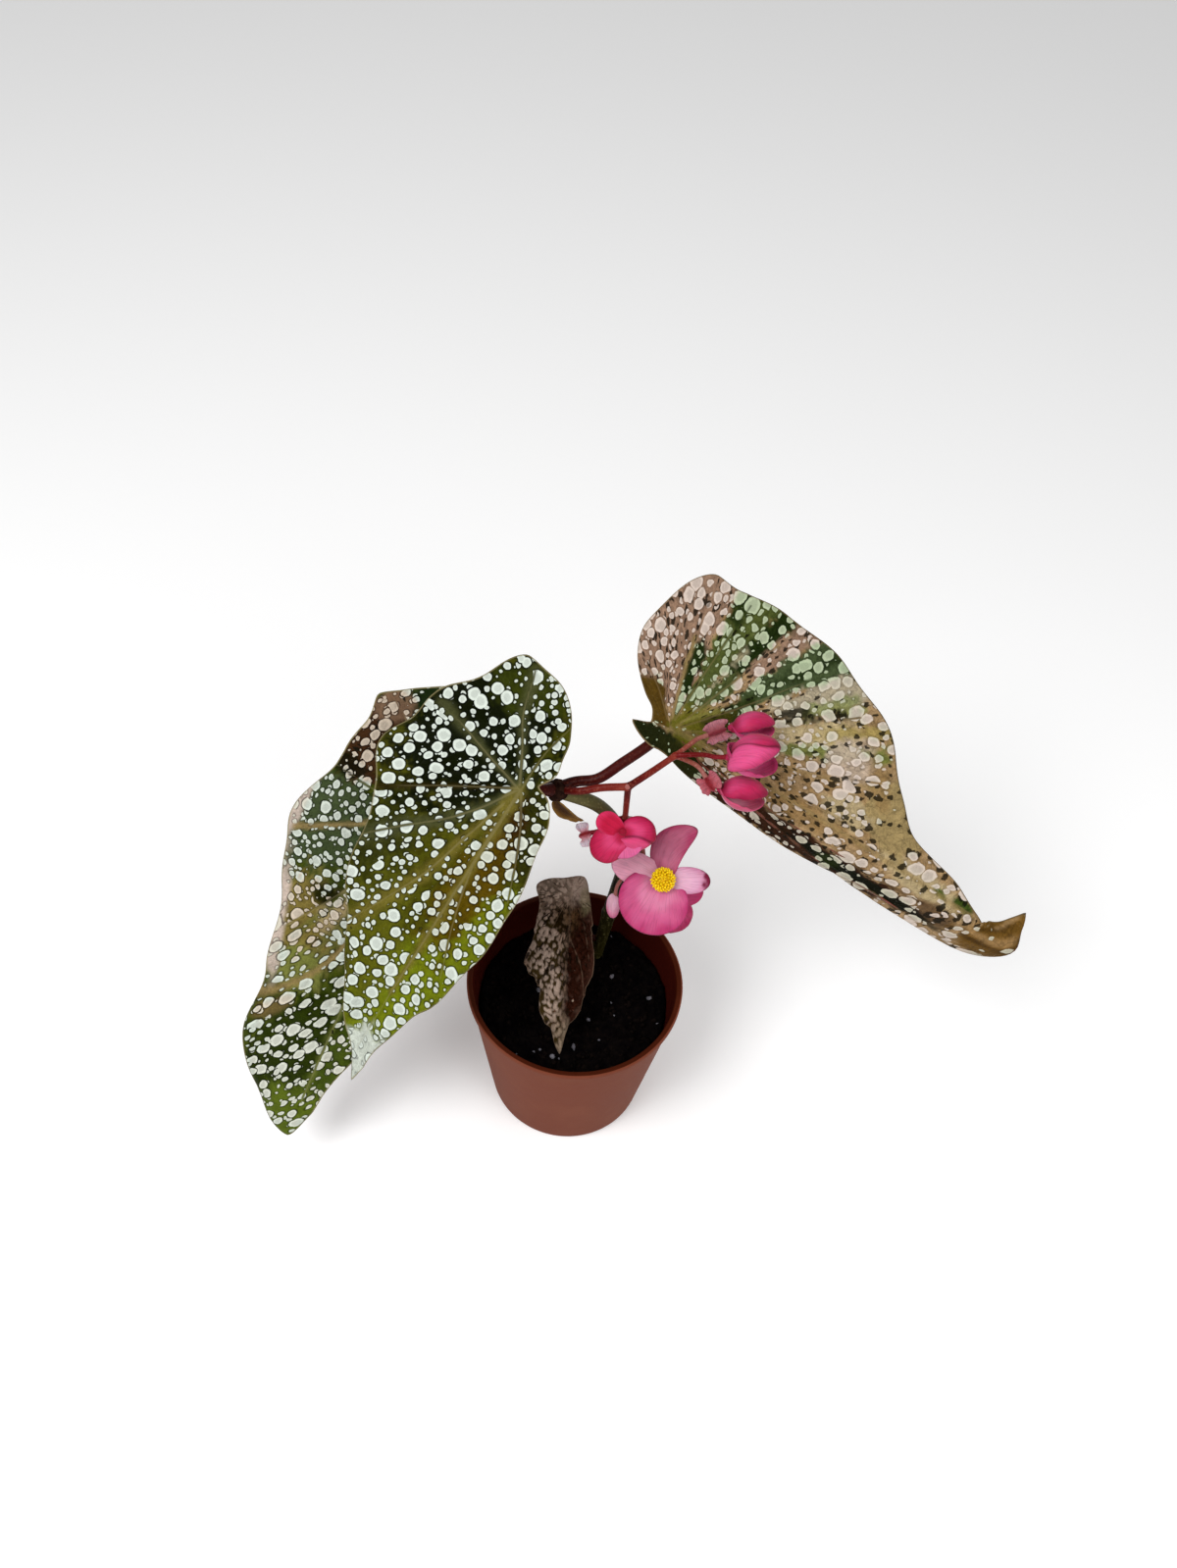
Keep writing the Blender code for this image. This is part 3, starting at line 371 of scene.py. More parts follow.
@dataclass(frozen=True)
class Bend:
    """How a flat blade is bent, in degrees, millimetres and, for curvatures, radians a millimetre.

    The two sides of the midrib rise by their folds, which come in over fold_width, and curl on outward.
    Where grow is set, the right fold starts at fold_root beside the root and comes in over that length. The
    midrib starts at the rise angle and droops ahead of its root and behind it. Sway carries the middle of the
    length sideways, and past hook_start the blade turns to its left in its own plane, round hook_side.
    """

    fold_left: float = 0.0
    fold_right: float = 0.0
    fold_width: float = 5.0
    curl_left: float = 0.0
    curl_right: float = 0.0
    rise: float = 0.0
    droop: float = 0.0
    back_droop: float = 0.0
    sway: float = 0.0
    length: float = 100.0
    grow: float = 0.0
    fold_root: float = 0.0
    hook_start: float = 500.0
    hook: float = 0.0
    hook_side: float = 0.0

    def hooked(self, x: Array, y: Array) -> tuple[Array, Array]:
        """Turns flat points past hook_start by hook radians a millimetre, round a line at hook_side."""
        turn = self.hook * np.clip(x - self.hook_start, 0, None)
        off = 1 / max(self.hook, 1e-9) - (y - self.hook_side)
        return np.minimum(x, self.hook_start) + np.sin(turn) * off, y + (1 - np.cos(turn)) * off

    def across(self, fold_right: float, y: Array) -> tuple[Array, Array]:
        """Rolls the width up: its slope at y is fold tanh(y / fold_width) + curl y."""

        def slope(side: Array) -> Array:
            """Returns the slope angle at each side distance."""
            fold = np.where(side > 0, self.fold_left, fold_right)
            curl = np.where(side > 0, self.curl_left, self.curl_right)
            tilt = np.radians(fold) * np.tanh(side / self.fold_width) + curl * side
            return np.clip(tilt, -STEEPEST, STEEPEST)

        return rolled(slope, y)[:2]

    def place(self, x: Array, y: Array, lift: Array) -> Array:
        """Bends flat points.

        Args:
            x: Distance ahead.
            y: Distance to the left.
            lift: Height above the blade.

        Returns:
            The bent points, a row each.
        """

        def slope(ahead: Array) -> Array:
            """Returns the slope angle at each distance ahead."""
            return math.radians(self.rise) - np.where(ahead > 0, self.droop, self.back_droop) * ahead

        share = np.clip(x / self.length, 0, 1)
        x, y = self.hooked(x, y + self.sway * 4 * share * (1 - share))
        side, up = self.across(self.fold_right, y)
        if self.grow:
            near_side, near_up = self.across(self.fold_root, y)
            grown = eased(x, -GROWS_FROM, self.grow - GROWS_FROM)
            side = near_side + (side - near_side) * grown
            up = near_up + (up - near_up) * grown
        ahead, high, tilt = rolled(slope, x)
        up = up + lift
        return np.column_stack([ahead - np.sin(tilt) * up, side, high + np.cos(tilt) * up])


def rolled(slope: Callable[[Array], Array], reach: Array) -> tuple[Array, Array, Array]:
    """Rolls a straight line up: position is the running sum of cos and sin of the slope angle.

    Args:
        slope: The slope angle at each distance.
        reach: The distances to read at.

    Returns:
        How far along and how high each point goes, and the slope there.
    """
    table = np.linspace(-LONGEST_BLADE, LONGEST_BLADE, ROLL_STEPS)
    tilt = slope(table)
    along, up = (np.cumsum(part) * (table[1] - table[0]) for part in (np.cos(tilt), np.sin(tilt)))
    middle = ROLL_STEPS // 2
    return tuple(np.interp(reach, table, line) for line in (along - along[middle], up - up[middle], tilt))


@dataclass(frozen=True)
class Rings:
    """The net of a blade: rings of points round its root, closer near the margin, and a coarser underside."""

    spokes: int
    rings: int
    step: int = 3
    crowd: float = 0.8

    def stations(self) -> tuple[Array, Array]:
        """Returns, for the root and then ring by ring, the spoke number and the share of the reach."""
        share = (np.arange(1, self.rings + 1) / self.rings) ** self.crowd
        spoke = np.tile(np.arange(self.spokes), self.rings)
        return np.concatenate([[0], spoke]), np.concatenate([[0.0], np.repeat(share, self.spokes)])

    def egg(self, length: float, width: float, base: float, taper: float) -> tuple[Array, Array, Array]:
        """Draws an egg: x = middle + half cos t, y = half width sin t (1 + taper cos t), times the share.

        Args:
            length: Its reach ahead of the root.
            width: Its width.
            base: Its reach behind the root.
            taper: How much wider it is towards its tip.

        Returns:
            The two flat coordinates of each point of the net, and its share of the reach.
        """
        spoke, share = self.stations()
        turn = (2 * np.pi / self.spokes) * spoke
        half = (length + base) / 2
        x, y = half - base + half * np.cos(turn), width / 2 * np.sin(turn) * (1 + taper * np.cos(turn))
        return x * share, y * share, share

    def solid(self, middle: Array, half: Array, values: dict[str, Array], ridge: Array | float = 0) -> Sheet:
        """Gives a bent middle surface its thickness; both faces meet in one ring of points at the margin.

        Args:
            middle: The points of the middle surface, as stations gives them.
            half: Half the thickness at each point.
            values: Values at each point.
            ridge: How far the underside stands out further.

        Returns:
            The closed blade, with its underside in slot 1.
        """
        rows = np.arange(self.rings * self.spokes).reshape(self.rings, self.spokes) + 1
        top = np.vstack([fan(0, rows[0]), lattice(rows)])
        normal = Sheet.of(middle, top).normals()
        picked = rows[self.step - 1 : -1 : self.step]
        order = np.concatenate([[0], picked.ravel()])
        lower = (middle - normal * (half + ridge)[:, None])[order]
        under = np.arange(picked.size).reshape(picked.shape) + len(middle) + 1
        base = np.vstack([fan(len(middle), under[0]), lattice(np.vstack([under, rows[-1:]]))])
        points = np.vstack([middle + normal * half[:, None], lower])
        kept = {name: np.concatenate([value, value[order]]) for name, value in values.items()}
        slots = np.repeat([0, 1], [len(top), len(base)])
        return Sheet(points, np.vstack([top, turned_over(base)]), slots, kept)

    def small(self, middle: Array, share: Array, thickness: float, power: float, **values: Array) -> Sheet:
        """Makes a small blade of one material from its middle surface, with values at its points."""
        made = self.solid(middle, margin_half(thickness, share, power), values)
        return Sheet.of(made.points, made.faces, made.values)


def margin_half(thickness: float, share: Array, power: float) -> Array:
    """Returns half a thickness that falls to nothing at the margin, times sqrt(1 - share^power)."""
    return thickness / 2 * np.sqrt(np.clip(1 - share**power, 0, 1))


def tube(route: Array, radii: Array, sides: int, round_ends: int = 4, dome_share: float = 0.35) -> Sheet:
    """Carries a circle along a route, on frames that turn as little as they can, with domed ends.

    A dome's rings shrink as the cosine of an angle that goes to 90 degrees, and move on as dome_share of the
    radius times its sine. Values hold the distance along the tube and the share of its length.

    Args:
        route: The points of the centre line.
        radii: The radius at each of them.
        sides: Sides of the circle.
        round_ends: Rings in each dome.
        dome_share: How high the domes stand.

    Returns:
        The closed tube.
    """
    tangent = np.gradient(route, axis=0)
    tangent /= np.linalg.norm(tangent, axis=1, keepdims=True)
    sideways = [unit(np.cross(tangent[0], ASKEW))]
    for way in tangent[1:]:
        sideways.append(unit(sideways[-1] - way * (sideways[-1] @ way)))
    across = np.array(sideways)
    up = np.cross(tangent, across)
    stations = travelled(route)
    last = len(route) - 1
    dome = np.linspace(0, np.pi / 2, round_ends + 1)[1:-1]
    index = np.concatenate([np.zeros(len(dome), int), np.arange(len(route)), np.full(len(dome), last)])
    shrink = np.concatenate([np.cos(dome[::-1]), np.ones(len(route)), np.cos(dome)])
    rise = dome_share * np.sin(dome)
    shift = np.concatenate([-rise[::-1] * radii[0], np.zeros(len(route)), rise * radii[-1]])
    angle = np.linspace(0, 2 * np.pi, sides, endpoint=False)[None, :, None]
    ring = np.cos(angle) * across[index][:, None] + np.sin(angle) * up[index][:, None]
    centre = route[index] + tangent[index] * shift[:, None]
    points = centre[:, None] + ring * (radii[index] * shrink)[:, None, None]
    caps = dome_share * radii[[0, -1]]
    ends = route[[0, -1]] + tangent[[0, -1]] * (caps * (-1, 1))[:, None]
    rows = np.arange(len(index) * sides).reshape(-1, sides)
    start, end = fan(rows.size, rows[0])[:, [0, 2, 1, 3]], fan(rows.size + 1, rows[-1])
    run = np.concatenate([np.repeat(stations[index] + shift, sides), [-caps[0], stations[-1] + caps[1]]])
    values = {"along": run, "share": np.clip(run / stations[-1], 0, 1)}
    faces = np.vstack([lattice(rows)[:, [0, 3, 2, 1]], start, end])
    return Sheet.of(np.vstack([points.reshape(-1, 3), ends]), faces, values).outward()


def turned_form(profile: Array, steps: int) -> Sheet:
    """Turns a profile of radii and heights about Z: x = r cos a, y = r sin a; its ends lie on the axis.

    Args:
        profile: Rows of a radius and a height, from axis to axis.
        steps: Steps round the axis.

    Returns:
        The closed form, with the profile's row as a value.
    """
    angle = np.linspace(0, 2 * np.pi, steps, endpoint=False)
    radius, height = profile[1:-1, :1], profile[1:-1, 1:]
    spread = [radius * np.cos(angle), radius * np.sin(angle), np.repeat(height, steps, axis=1)]
    rows = np.arange(radius.size * steps).reshape(-1, steps)
    end = fan(rows.size + 1, rows[-1])[:, [0, 2, 1, 3]]
    ends = np.array([[0, 0, profile[0, 1]], [0, 0, profile[-1, 1]]])
    station = np.concatenate([np.repeat(np.arange(1.0, len(profile) - 1), steps), [0, len(profile) - 1]])
    faces = np.vstack([lattice(rows), fan(rows.size, rows[0]), end])
    points = np.vstack([np.stack(spread, axis=-1).reshape(-1, 3), ends])
    return Sheet.of(points, faces, {"row": station}).outward()


def pebble(radii: Point, around: int, rings: int) -> Sheet:
    """Draws an ellipsoid: x = a sin p cos t, y = b sin p sin t, z = c cos p.

    Args:
        radii: Its half lengths along X, Y and Z.
        around: Steps round Z.
        rings: Rings between the poles.

    Returns:
        The closed form.
    """
    fall = np.linspace(0, np.pi, rings + 2)
    made = turned_form(np.column_stack([np.sin(fall), np.cos(fall)]), around)
    return Sheet(made.points * np.array(radii), made.faces, made.slots, {})


# Shaders


def step(operation: str, reflected: bool = False) -> Callable[[Wire, Wire | float], Wire]:
    """Makes a wire's method that adds a Math node of two values, swapped where it is reflected."""

    def operate(self: Wire, other: Wire | float) -> Wire:
        """Adds the node."""
        return self.graph.math(operation, *((other, self) if reflected else (self, other)))

    return operate


class Wire:
    """A shader socket that takes part in Python arithmetic, each step of which adds a Math node."""

    __add__ = __radd__ = step("ADD")
    __mul__ = __rmul__ = step("MULTIPLY")
    __sub__ = step("SUBTRACT")
    __rsub__ = step("SUBTRACT", reflected=True)
    most = step("MAXIMUM")

    def __init__(self, graph: Graph, socket: bpy.types.NodeSocket) -> None:
        """Keeps the socket and the graph that it belongs to."""
        self.graph = graph
        self.socket = socket

    def eased(self, low: float, high: float) -> Wire:
        """Returns a smooth step from 0 at low to 1 at high."""
        inputs = {"Value": self, "From Min": low, "From Max": high}
        return self.graph.node("ShaderNodeMapRange", {"interpolation_type": "SMOOTHSTEP"}, inputs)


class Graph:
    """A material's node tree round one Principled shader."""

    def __init__(self, name: str, **constants: float) -> None:
        """Makes a material of this name and sets the shader's sockets that are the same all over it."""
        self.material = bpy.data.materials.new(name)
        self.material.use_nodes = True
        self.tree = self.material.node_tree
        self.shader = self.tree.nodes["Principled BSDF"]
        for key, value in constants.items():
            self.shader.inputs[key.replace("_", " ")].default_value = value

    def feed(self, socket: bpy.types.NodeSocket, value: Any) -> None:
        """Links a wire to a socket, or sets the socket's own value."""
        if isinstance(value, Wire):
            self.tree.links.new(value.socket, socket)
        elif socket.type == "RGBA" and len(value) == 3:
            socket.default_value = (*value, 1.0)
        else:
            socket.default_value = value

    def node(
        self, kind: str, settings: dict[str, Any], inputs: dict[str | int, Any], output: str | int = 0
    ) -> Wire:
        """Adds any node.

        Args:
            kind: The node's type.
            settings: Its settings by name; "stops" are a ramp's positions and colours.
            inputs: Values or wires by socket name or number.
            output: The socket to return.

        Returns:
            The wire of that output.
        """
        made = self.tree.nodes.new(kind)
        for key, value in settings.items():
            if key == "stops":
                for _ in value[2:]:
                    made.color_ramp.elements.new(1.0)
                for element, (position, colour) in zip(made.color_ramp.elements, value):
                    element.position, element.color = position, (*colour, 1.0)
            else:
                setattr(made, key, value)
        for key, value in inputs.items():
            self.feed(made.inputs[key], value)
        return Wire(self, made.outputs[output])

    def math(self, operation: str, first: Wire | float, second: Wire | float) -> Wire:
        """Adds a Math node of two values."""
        return self.node("ShaderNodeMath", {"operation": operation}, {0: first, 1: second})

    def vector(self, operation: str, first: Any, second: Any) -> Wire:
        """Adds a Vector Math node of two vectors, or of a vector and the number that scales it."""
        other = "Scale" if operation == "SCALE" else 1
        return self.node("ShaderNodeVectorMath", {"operation": operation}, {0: first, other: second})

    def scaled(self, colour: Any, amount: Wire | float) -> Wire:
        """Multiplies a colour by a number."""
        return self.vector("SCALE", colour, amount)

    def mix(self, share: Wire | float, first: Any, second: Any) -> Wire:
        """Mixes two colours by a share of the second."""
        return self.node("ShaderNodeMix", {"data_type": "RGBA"}, {0: share, 6: first, 7: second}, 2)

    def value(self, name: str, output: str = "Fac") -> Wire:
        """Reads a number kept at the piece's points."""
        return self.node("ShaderNodeAttribute", {"attribute_name": name}, {}, output)

    def paint(self, name: str) -> Wire:
        """Reads a colour kept at the piece's points."""
        return self.value(name, "Color")

    def flat(self) -> Wire:
        """Reads the blade's flat coordinates, in millimetres."""
        return self.scaled(self.node("ShaderNodeUVMap", {"uv_map": "flat"}, {}), FLAT_UNIT)

    def place(self) -> Wire:
        """Reads the place in the object, in metres."""
        return self.node("ShaderNodeTexCoord", {}, {}, "Object")

    def noise(
        self, where: Wire, size: float, detail: float = 3.0, roughness: float = 0.5, output: str | int = 0
    ) -> Wire:
        """Adds a noise whose grain is about 1 / size of the coordinates' unit."""
        inputs = {"Vector": where, "Scale": size, "Detail": detail, "Roughness": roughness}
        return self.node("ShaderNodeTexNoise", {}, inputs, output)

    def borders(self, flat: Wire) -> Wire:
        """Returns the distance to the borders of the small cells that a blade's flesh is made of."""
        settings = {"voronoi_dimensions": "2D", "feature": "DISTANCE_TO_EDGE"}
        return self.node("ShaderNodeTexVoronoi", settings, {"Vector": flat, "Scale": 0.62})

    def bump(self, height: Wire, distance: float) -> Wire:
        """Turns a height into a bumped normal, with the distance in millimetres."""
        return self.node("ShaderNodeBump", {}, {"Strength": 1.0, "Distance": distance * MM, "Height": height})

    def finish(self, **sockets: Any) -> bpy.types.Material:
        """Feeds the shader's sockets, named with underscores for spaces, and returns the material."""
        for key, value in sockets.items():
            self.feed(self.shader.inputs[key.replace("_", " ")], value)
        return self.material


def tone(red: int, green: int, blue: int) -> Colour:
    """Turns screen values up to 255 into linear light: ((c + 0.055) / 1.055)^2.4, or c / 12.92 when dark."""
    shares = [part / 255 for part in (red, green, blue)]
    return tuple(part / 12.92 if part <= 0.04045 else ((part + 0.055) / 1.055) ** 2.4 for part in shares)


def tones(*screen: tuple[int, int, int]) -> tuple[Colour, ...]:
    """Returns the tones of several screen colours."""
    return tuple(tone(*colour) for colour in screen)


class Slot(Enum):
    """Names of material slots."""

    POT = "terracotta_plastic"
    SOIL = "potting_soil"
    CANE = "green_stem"
    STIPULE = "dry_stipule"
    PETIOLE = "petiole_red"
    STALK = "stalk_red"
    GREEN_LEAF = "leaf_green"
    TAN_LEAF = "leaf_tan"
    TAUPE_LEAF = "leaf_taupe"
    SOFT_PINK = "tepal_soft_pink"
    DEEP_PINK = "tepal_deep_pink"
    STAMEN = "stamen_yellow"
    PALE_PINK = "flower_pale_pink"


# Finishes


@dataclass(frozen=True)
class PlasticFinish:
    """Moulded plastic, with a faint mottle, fine grain and the dust and rubs of use.

    Wear is how dusty its colour goes in patches, and grain the depth of its surface in millimetres.
    """

    name: str
    colour: Colour
    dusty: Colour
    roughness: float
    wear: float = 0.35
    grain: float = 0.05
    gloss: float = 0.06

    def make(self) -> bpy.types.Material:
        """Builds the material: colour mixed by a broad noise, roughness and bump by a fine one."""
        graph = Graph(self.name, Specular_IOR_Level=self.gloss)
        place = graph.place()
        broad = graph.noise(place, 55, 4, 0.6)
        fine = graph.noise(place, 1400, 3, 0.6)
        colour = graph.mix((broad - 0.42).eased(0.0, 0.3) * self.wear, self.colour, self.dusty)
        return graph.finish(
            Base_Color=graph.scaled(colour, fine * 0.16 + 0.92),
            Roughness=broad * 0.16 + (self.roughness - 0.08),
            Normal=graph.bump(fine * 0.7 + graph.noise(place, 260, 2), self.grain),
        )


@dataclass(frozen=True)
class SoilFinish:
    """Damp dark potting soil or one of the grains in it."""

    name: str
    dark: Colour
    light: Colour
    roughness: float

    def make(self) -> bpy.types.Material:
        """Builds the material: two colours mixed by a fine noise, with a deep bump."""
        graph = Graph(self.name, Specular_IOR_Level=0.02)
        place = graph.place()
        crumbs = graph.noise(place, 420, 6, 0.7)
        lumps = graph.noise(place, 130, 3, 0.6)
        return graph.finish(
            Base_Color=graph.mix((crumbs * 0.7 + lumps * 0.3).eased(0.38, 0.72), self.dark, self.light),
            Roughness=crumbs * 0.2 + (self.roughness - 0.1),
            Normal=graph.bump(crumbs + lumps, 0.7),
        )


@dataclass(frozen=True)
class StemFinish:
    """A fleshy stem: colours at its start, middle and end, with fine streaks and flecks of the fourth."""

    name: str
    colours: tuple[Colour, ...]
    roughness: float
    streaks: float
    flecks: float

    def make(self) -> bpy.types.Material:
        """Builds the material: a ramp over the length, streaked by a noise drawn out along it."""
        graph = Graph(self.name, Specular_IOR_Level=0.07)
        place = graph.place()
        pale = self.colours[3]
        where = graph.value("share") + (graph.noise(place, 90) - 0.5) * 0.2
        stops = list(zip((0.0, 0.5, 1.0), self.colours))
        ramp = graph.node("ShaderNodeValToRGB", {"stops": stops}, {0: where})
        drawn = graph.noise(graph.paint("grain"), 1.0, 3, 0.6)
        dots = graph.node("ShaderNodeTexVoronoi", {}, {"Vector": place, "Scale": 900.0})
        streaked = graph.mix((drawn - 0.5).eased(0.0, 0.25) * self.streaks, ramp, pale)
        colour = graph.mix((0.34 - dots).eased(0.0, 0.1) * self.flecks, streaked, pale)
        return graph.finish(
            Base_Color=graph.scaled(colour, graph.noise(place, 240, 3) * 0.4 + 0.8),
            Roughness=drawn * 0.2 + (self.roughness - 0.1),
            Normal=graph.bump(drawn + dots * 0.3, 0.12),
        )


@dataclass(frozen=True)
class LeafFinish:
    """A spotted leaf's upper face.

    Its ground colour is painted at the points of its mesh, with the amounts of spots, of dark specks and of
    blush, which turns spots from silver to pink. Spots are round cells of noises whose grain follows the
    veins; each has its own size, a dark halo and a slightly darker heart. Coarse and fine are the spacings of
    two sizes of spots, whose radii go from the first to the second of their own.
    """

    name: str
    silver: Colour
    blush: Colour
    speck: Colour
    rim: Colour
    roughness: float
    coarse: float
    coarse_radii: Pair
    fine: float
    fine_radii: Pair
    rim_width: float = 0.4
    relief: float = 0.14
    gloss: float = 0.015
    halo: float = 0.75
    lines: float = 0.5
    threads: float = 0.08
    speck_cell: float = 2.0
    warp: float = 1.2

    def cells(self, graph: Graph, where: Wire, cell: float) -> tuple[Wire, Wire, Wire]:
        """Strews a point in each cell: returns the distance to the nearest, in cells, and its two draws."""
        inputs = {"Vector": graph.scaled(where, 1 / cell), "Scale": 1.0, "Randomness": 0.8}
        away = graph.node("ShaderNodeTexVoronoi", {"voronoi_dimensions": "2D"}, inputs)
        split = graph.node("ShaderNodeSeparateColor", {}, {0: Wire(graph, away.socket.node.outputs["Color"])})
        return away, split, Wire(graph, split.socket.node.outputs[1])

    def spots(self, graph: Graph, where: Wire, cell: float, radii: Pair) -> tuple[Wire, Wire, Wire]:
        """Draws one size of spots.

        Args:
            graph: The material's graph.
            where: The grain coordinates, in millimetres.
            cell: The spacing in millimetres.
            radii: The smallest and the largest radius in millimetres.

        Returns:
            Masks of the spots, of the halo round them and of their hearts.
        """
        distance, size, turn = self.cells(graph, where, cell)
        present = (graph.value("spots") - turn).eased(-0.06, 0.06)
        radius = (size * (radii[1] - radii[0]) + radii[0]) * present
        off = distance * cell
        halo = (radius + 0.65 - off).eased(0.0, 0.5) * present
        return (radius - off).eased(-0.1, 0.1), halo, (radius * 0.62 - off).eased(-0.25, 0.25)

    def flecks(self, graph: Graph, rays: Wire) -> Wire:
        """Draws dark specks in clumps, with ragged sides, on coordinates that run out from the root."""
        ragged = graph.noise(rays, 1.6, output="Color")
        where = graph.vector("ADD", rays, graph.scaled(ragged, 1.1))
        away, size, turn = self.cells(graph, where, self.speck_cell)
        clumps = graph.noise(rays, 0.16, 2).eased(0.3, 0.55) * graph.value("specks")
        return ((size * 0.26 + 0.16) * (clumps * 1.3 - turn).eased(-0.05, 0.05) - away).eased(-0.04, 0.06)

    def make(self) -> bpy.types.Material:
        """Builds the material: the painted ground, then specks, spots and rim, each laid over the last."""
        graph = Graph(self.name, Specular_IOR_Level=self.gloss)
        grain, rays, flat = graph.paint("grain"), graph.paint("rays"), graph.flat()
        moved = graph.vector("SUBTRACT", graph.noise(grain, 0.32, output="Color"), (0.5, 0.5, 0.5))
        where = graph.vector("ADD", grain, graph.scaled(moved, self.warp))
        shifted = graph.vector("ADD", where, (37.3, 11.9, 0.0))
        big, big_halo, big_heart = self.spots(graph, where, self.coarse, self.coarse_radii)
        small, small_halo, small_heart = self.spots(graph, shifted, self.fine, self.fine_radii)
        vein = graph.value("vein")
        clear = 1 - vein.eased(0.45, 0.9)
        spot = big.most(small * (1 - big_halo.eased(0.1, 0.5))) * clear
        halo = big_halo.most(small_halo * 0.7) * clear
        net = graph.borders(flat)
        lines = graph.noise(rays, 0.9, 4, 0.65)
        ridge = graph.noise(rays, 0.55, 2)
        threads = 1 - (ridge - 0.5).most(0.5 - ridge).eased(0.0, 0.035)
        # Mottle and the pore noise scale the ground: partly the leaf's own uneven tone, partly painted shade
        # of its pillowed flesh.
        mottle = graph.noise(flat, 0.22, 5, 0.62)
        pits_and_shade = graph.noise(flat, 2.6, 3, 0.6)
        shade = mottle * 0.9 + lines * self.lines + (0.55 - self.lines / 2)
        ground = graph.scaled(graph.paint("zone"), shade)
        ground = graph.scaled(ground, (1 - net.eased(0.02, 0.2) * 0.12) * (pits_and_shade * 0.5 + 0.75))
        ground = graph.scaled(ground, (1 - halo * self.halo) * (1 - threads * self.threads))
        ground = graph.mix(vein.eased(0.75, 1.0) * 0.3, ground, self.rim)
        ground = graph.mix(self.flecks(graph, rays) * 0.9, ground, self.speck)
        pale = graph.mix(graph.value("blush"), self.silver, self.blush)
        pale = graph.scaled(pale, 1 - big_heart.most(small_heart) * 0.22)
        colour = graph.mix(spot * 0.95, ground, graph.scaled(pale, pits_and_shade * 0.3 + 0.85))
        rim = (self.rim_width - graph.value("margin")).eased(-0.25, 0.25)
        return graph.finish(
            Base_Color=graph.mix(rim * 0.8, colour, self.rim),
            Roughness=pits_and_shade * 0.2 + spot * 0.08 + (self.roughness - 0.1),
            Normal=graph.bump(net.eased(0.0, 0.3) * 0.5 + pits_and_shade * 0.25 + spot * 0.5, self.relief),
        )


@dataclass(frozen=True)
class UndersideFinish:
    """A leaf's underside: matt, with veins of another colour that stand out."""

    name: str
    colour: Colour
    shade: Colour
    vein: Colour

    def make(self) -> bpy.types.Material:
        """Builds the material: two colours mixed by a broad noise, then the veins by their value."""
        graph = Graph(self.name, Specular_IOR_Level=0.15)
        flat = graph.flat()
        mottle = graph.noise(flat, 0.12, 4, 0.6)
        net = graph.borders(flat)
        ground = graph.mix(mottle.eased(0.35, 0.65), self.colour, self.shade)
        lines = ((1 - net.eased(0.0, 0.14)) * 0.35).most(graph.value("vein").eased(0.2, 0.9) * 0.85)
        return graph.finish(
            Base_Color=graph.mix(lines, ground, self.vein),
            Roughness=mottle * 0.1 + 0.45,
            Normal=graph.bump(net.eased(0.0, 0.2) * -1.0, 0.12),
        )


@dataclass(frozen=True)
class PetalFinish:
    """Soft flower flesh: painted ground, faint lengthwise veins, a dewy sparkle of cells."""

    name: str
    veins: float = 0.22
    roughness: float = 0.42
    glow: float = 0.06

    def make(self) -> bpy.types.Material:
        """Builds the material: a noise drawn out along the blade darkens the painted colour in lines."""
        soft = {"Sheen_Weight": 0.06, "Subsurface_Weight": self.glow, "Subsurface_Scale": 1.2 * MM}
        graph = Graph(self.name, Specular_IOR_Level=0.06, **soft)
        place = graph.place()
        drawn = graph.noise(graph.paint("grain"), 1.0, 3, 0.6)
        lines = (1 - (drawn - 0.5).most(0.5 - drawn).eased(0.0, 0.05)) * self.veins
        cells = graph.node("ShaderNodeTexVoronoi", {}, {"Vector": place, "Scale": 3200.0})
        colour = graph.scaled(graph.paint("zone"), graph.noise(place, 320, 3) * 0.18 + 0.91)
        return graph.finish(
            Base_Color=graph.scaled(colour, 1 - lines),
            Roughness=cells * 0.1 + (self.roughness - 0.05),
            Normal=graph.bump(cells * 0.5 + drawn, 0.06),
        )


@dataclass(frozen=True)
class PollenFinish:
    """The grainy bright flesh of anthers."""

    name: str
    colour: Colour
    deep: Colour

    def make(self) -> bpy.types.Material:
        """Builds the material: two colours mixed by a fine noise."""
        graph = Graph(self.name, Specular_IOR_Level=0.2, Subsurface_Weight=0.1, Subsurface_Scale=0.6 * MM)
        fine = graph.noise(graph.place(), 1500, 3, 0.6)
        return graph.finish(
            Base_Color=graph.mix(fine.eased(0.35, 0.7), self.deep, self.colour),
            Roughness=fine * 0.2 + 0.42,
            Normal=graph.bump(fine, 0.06),
        )


# Pot and soil


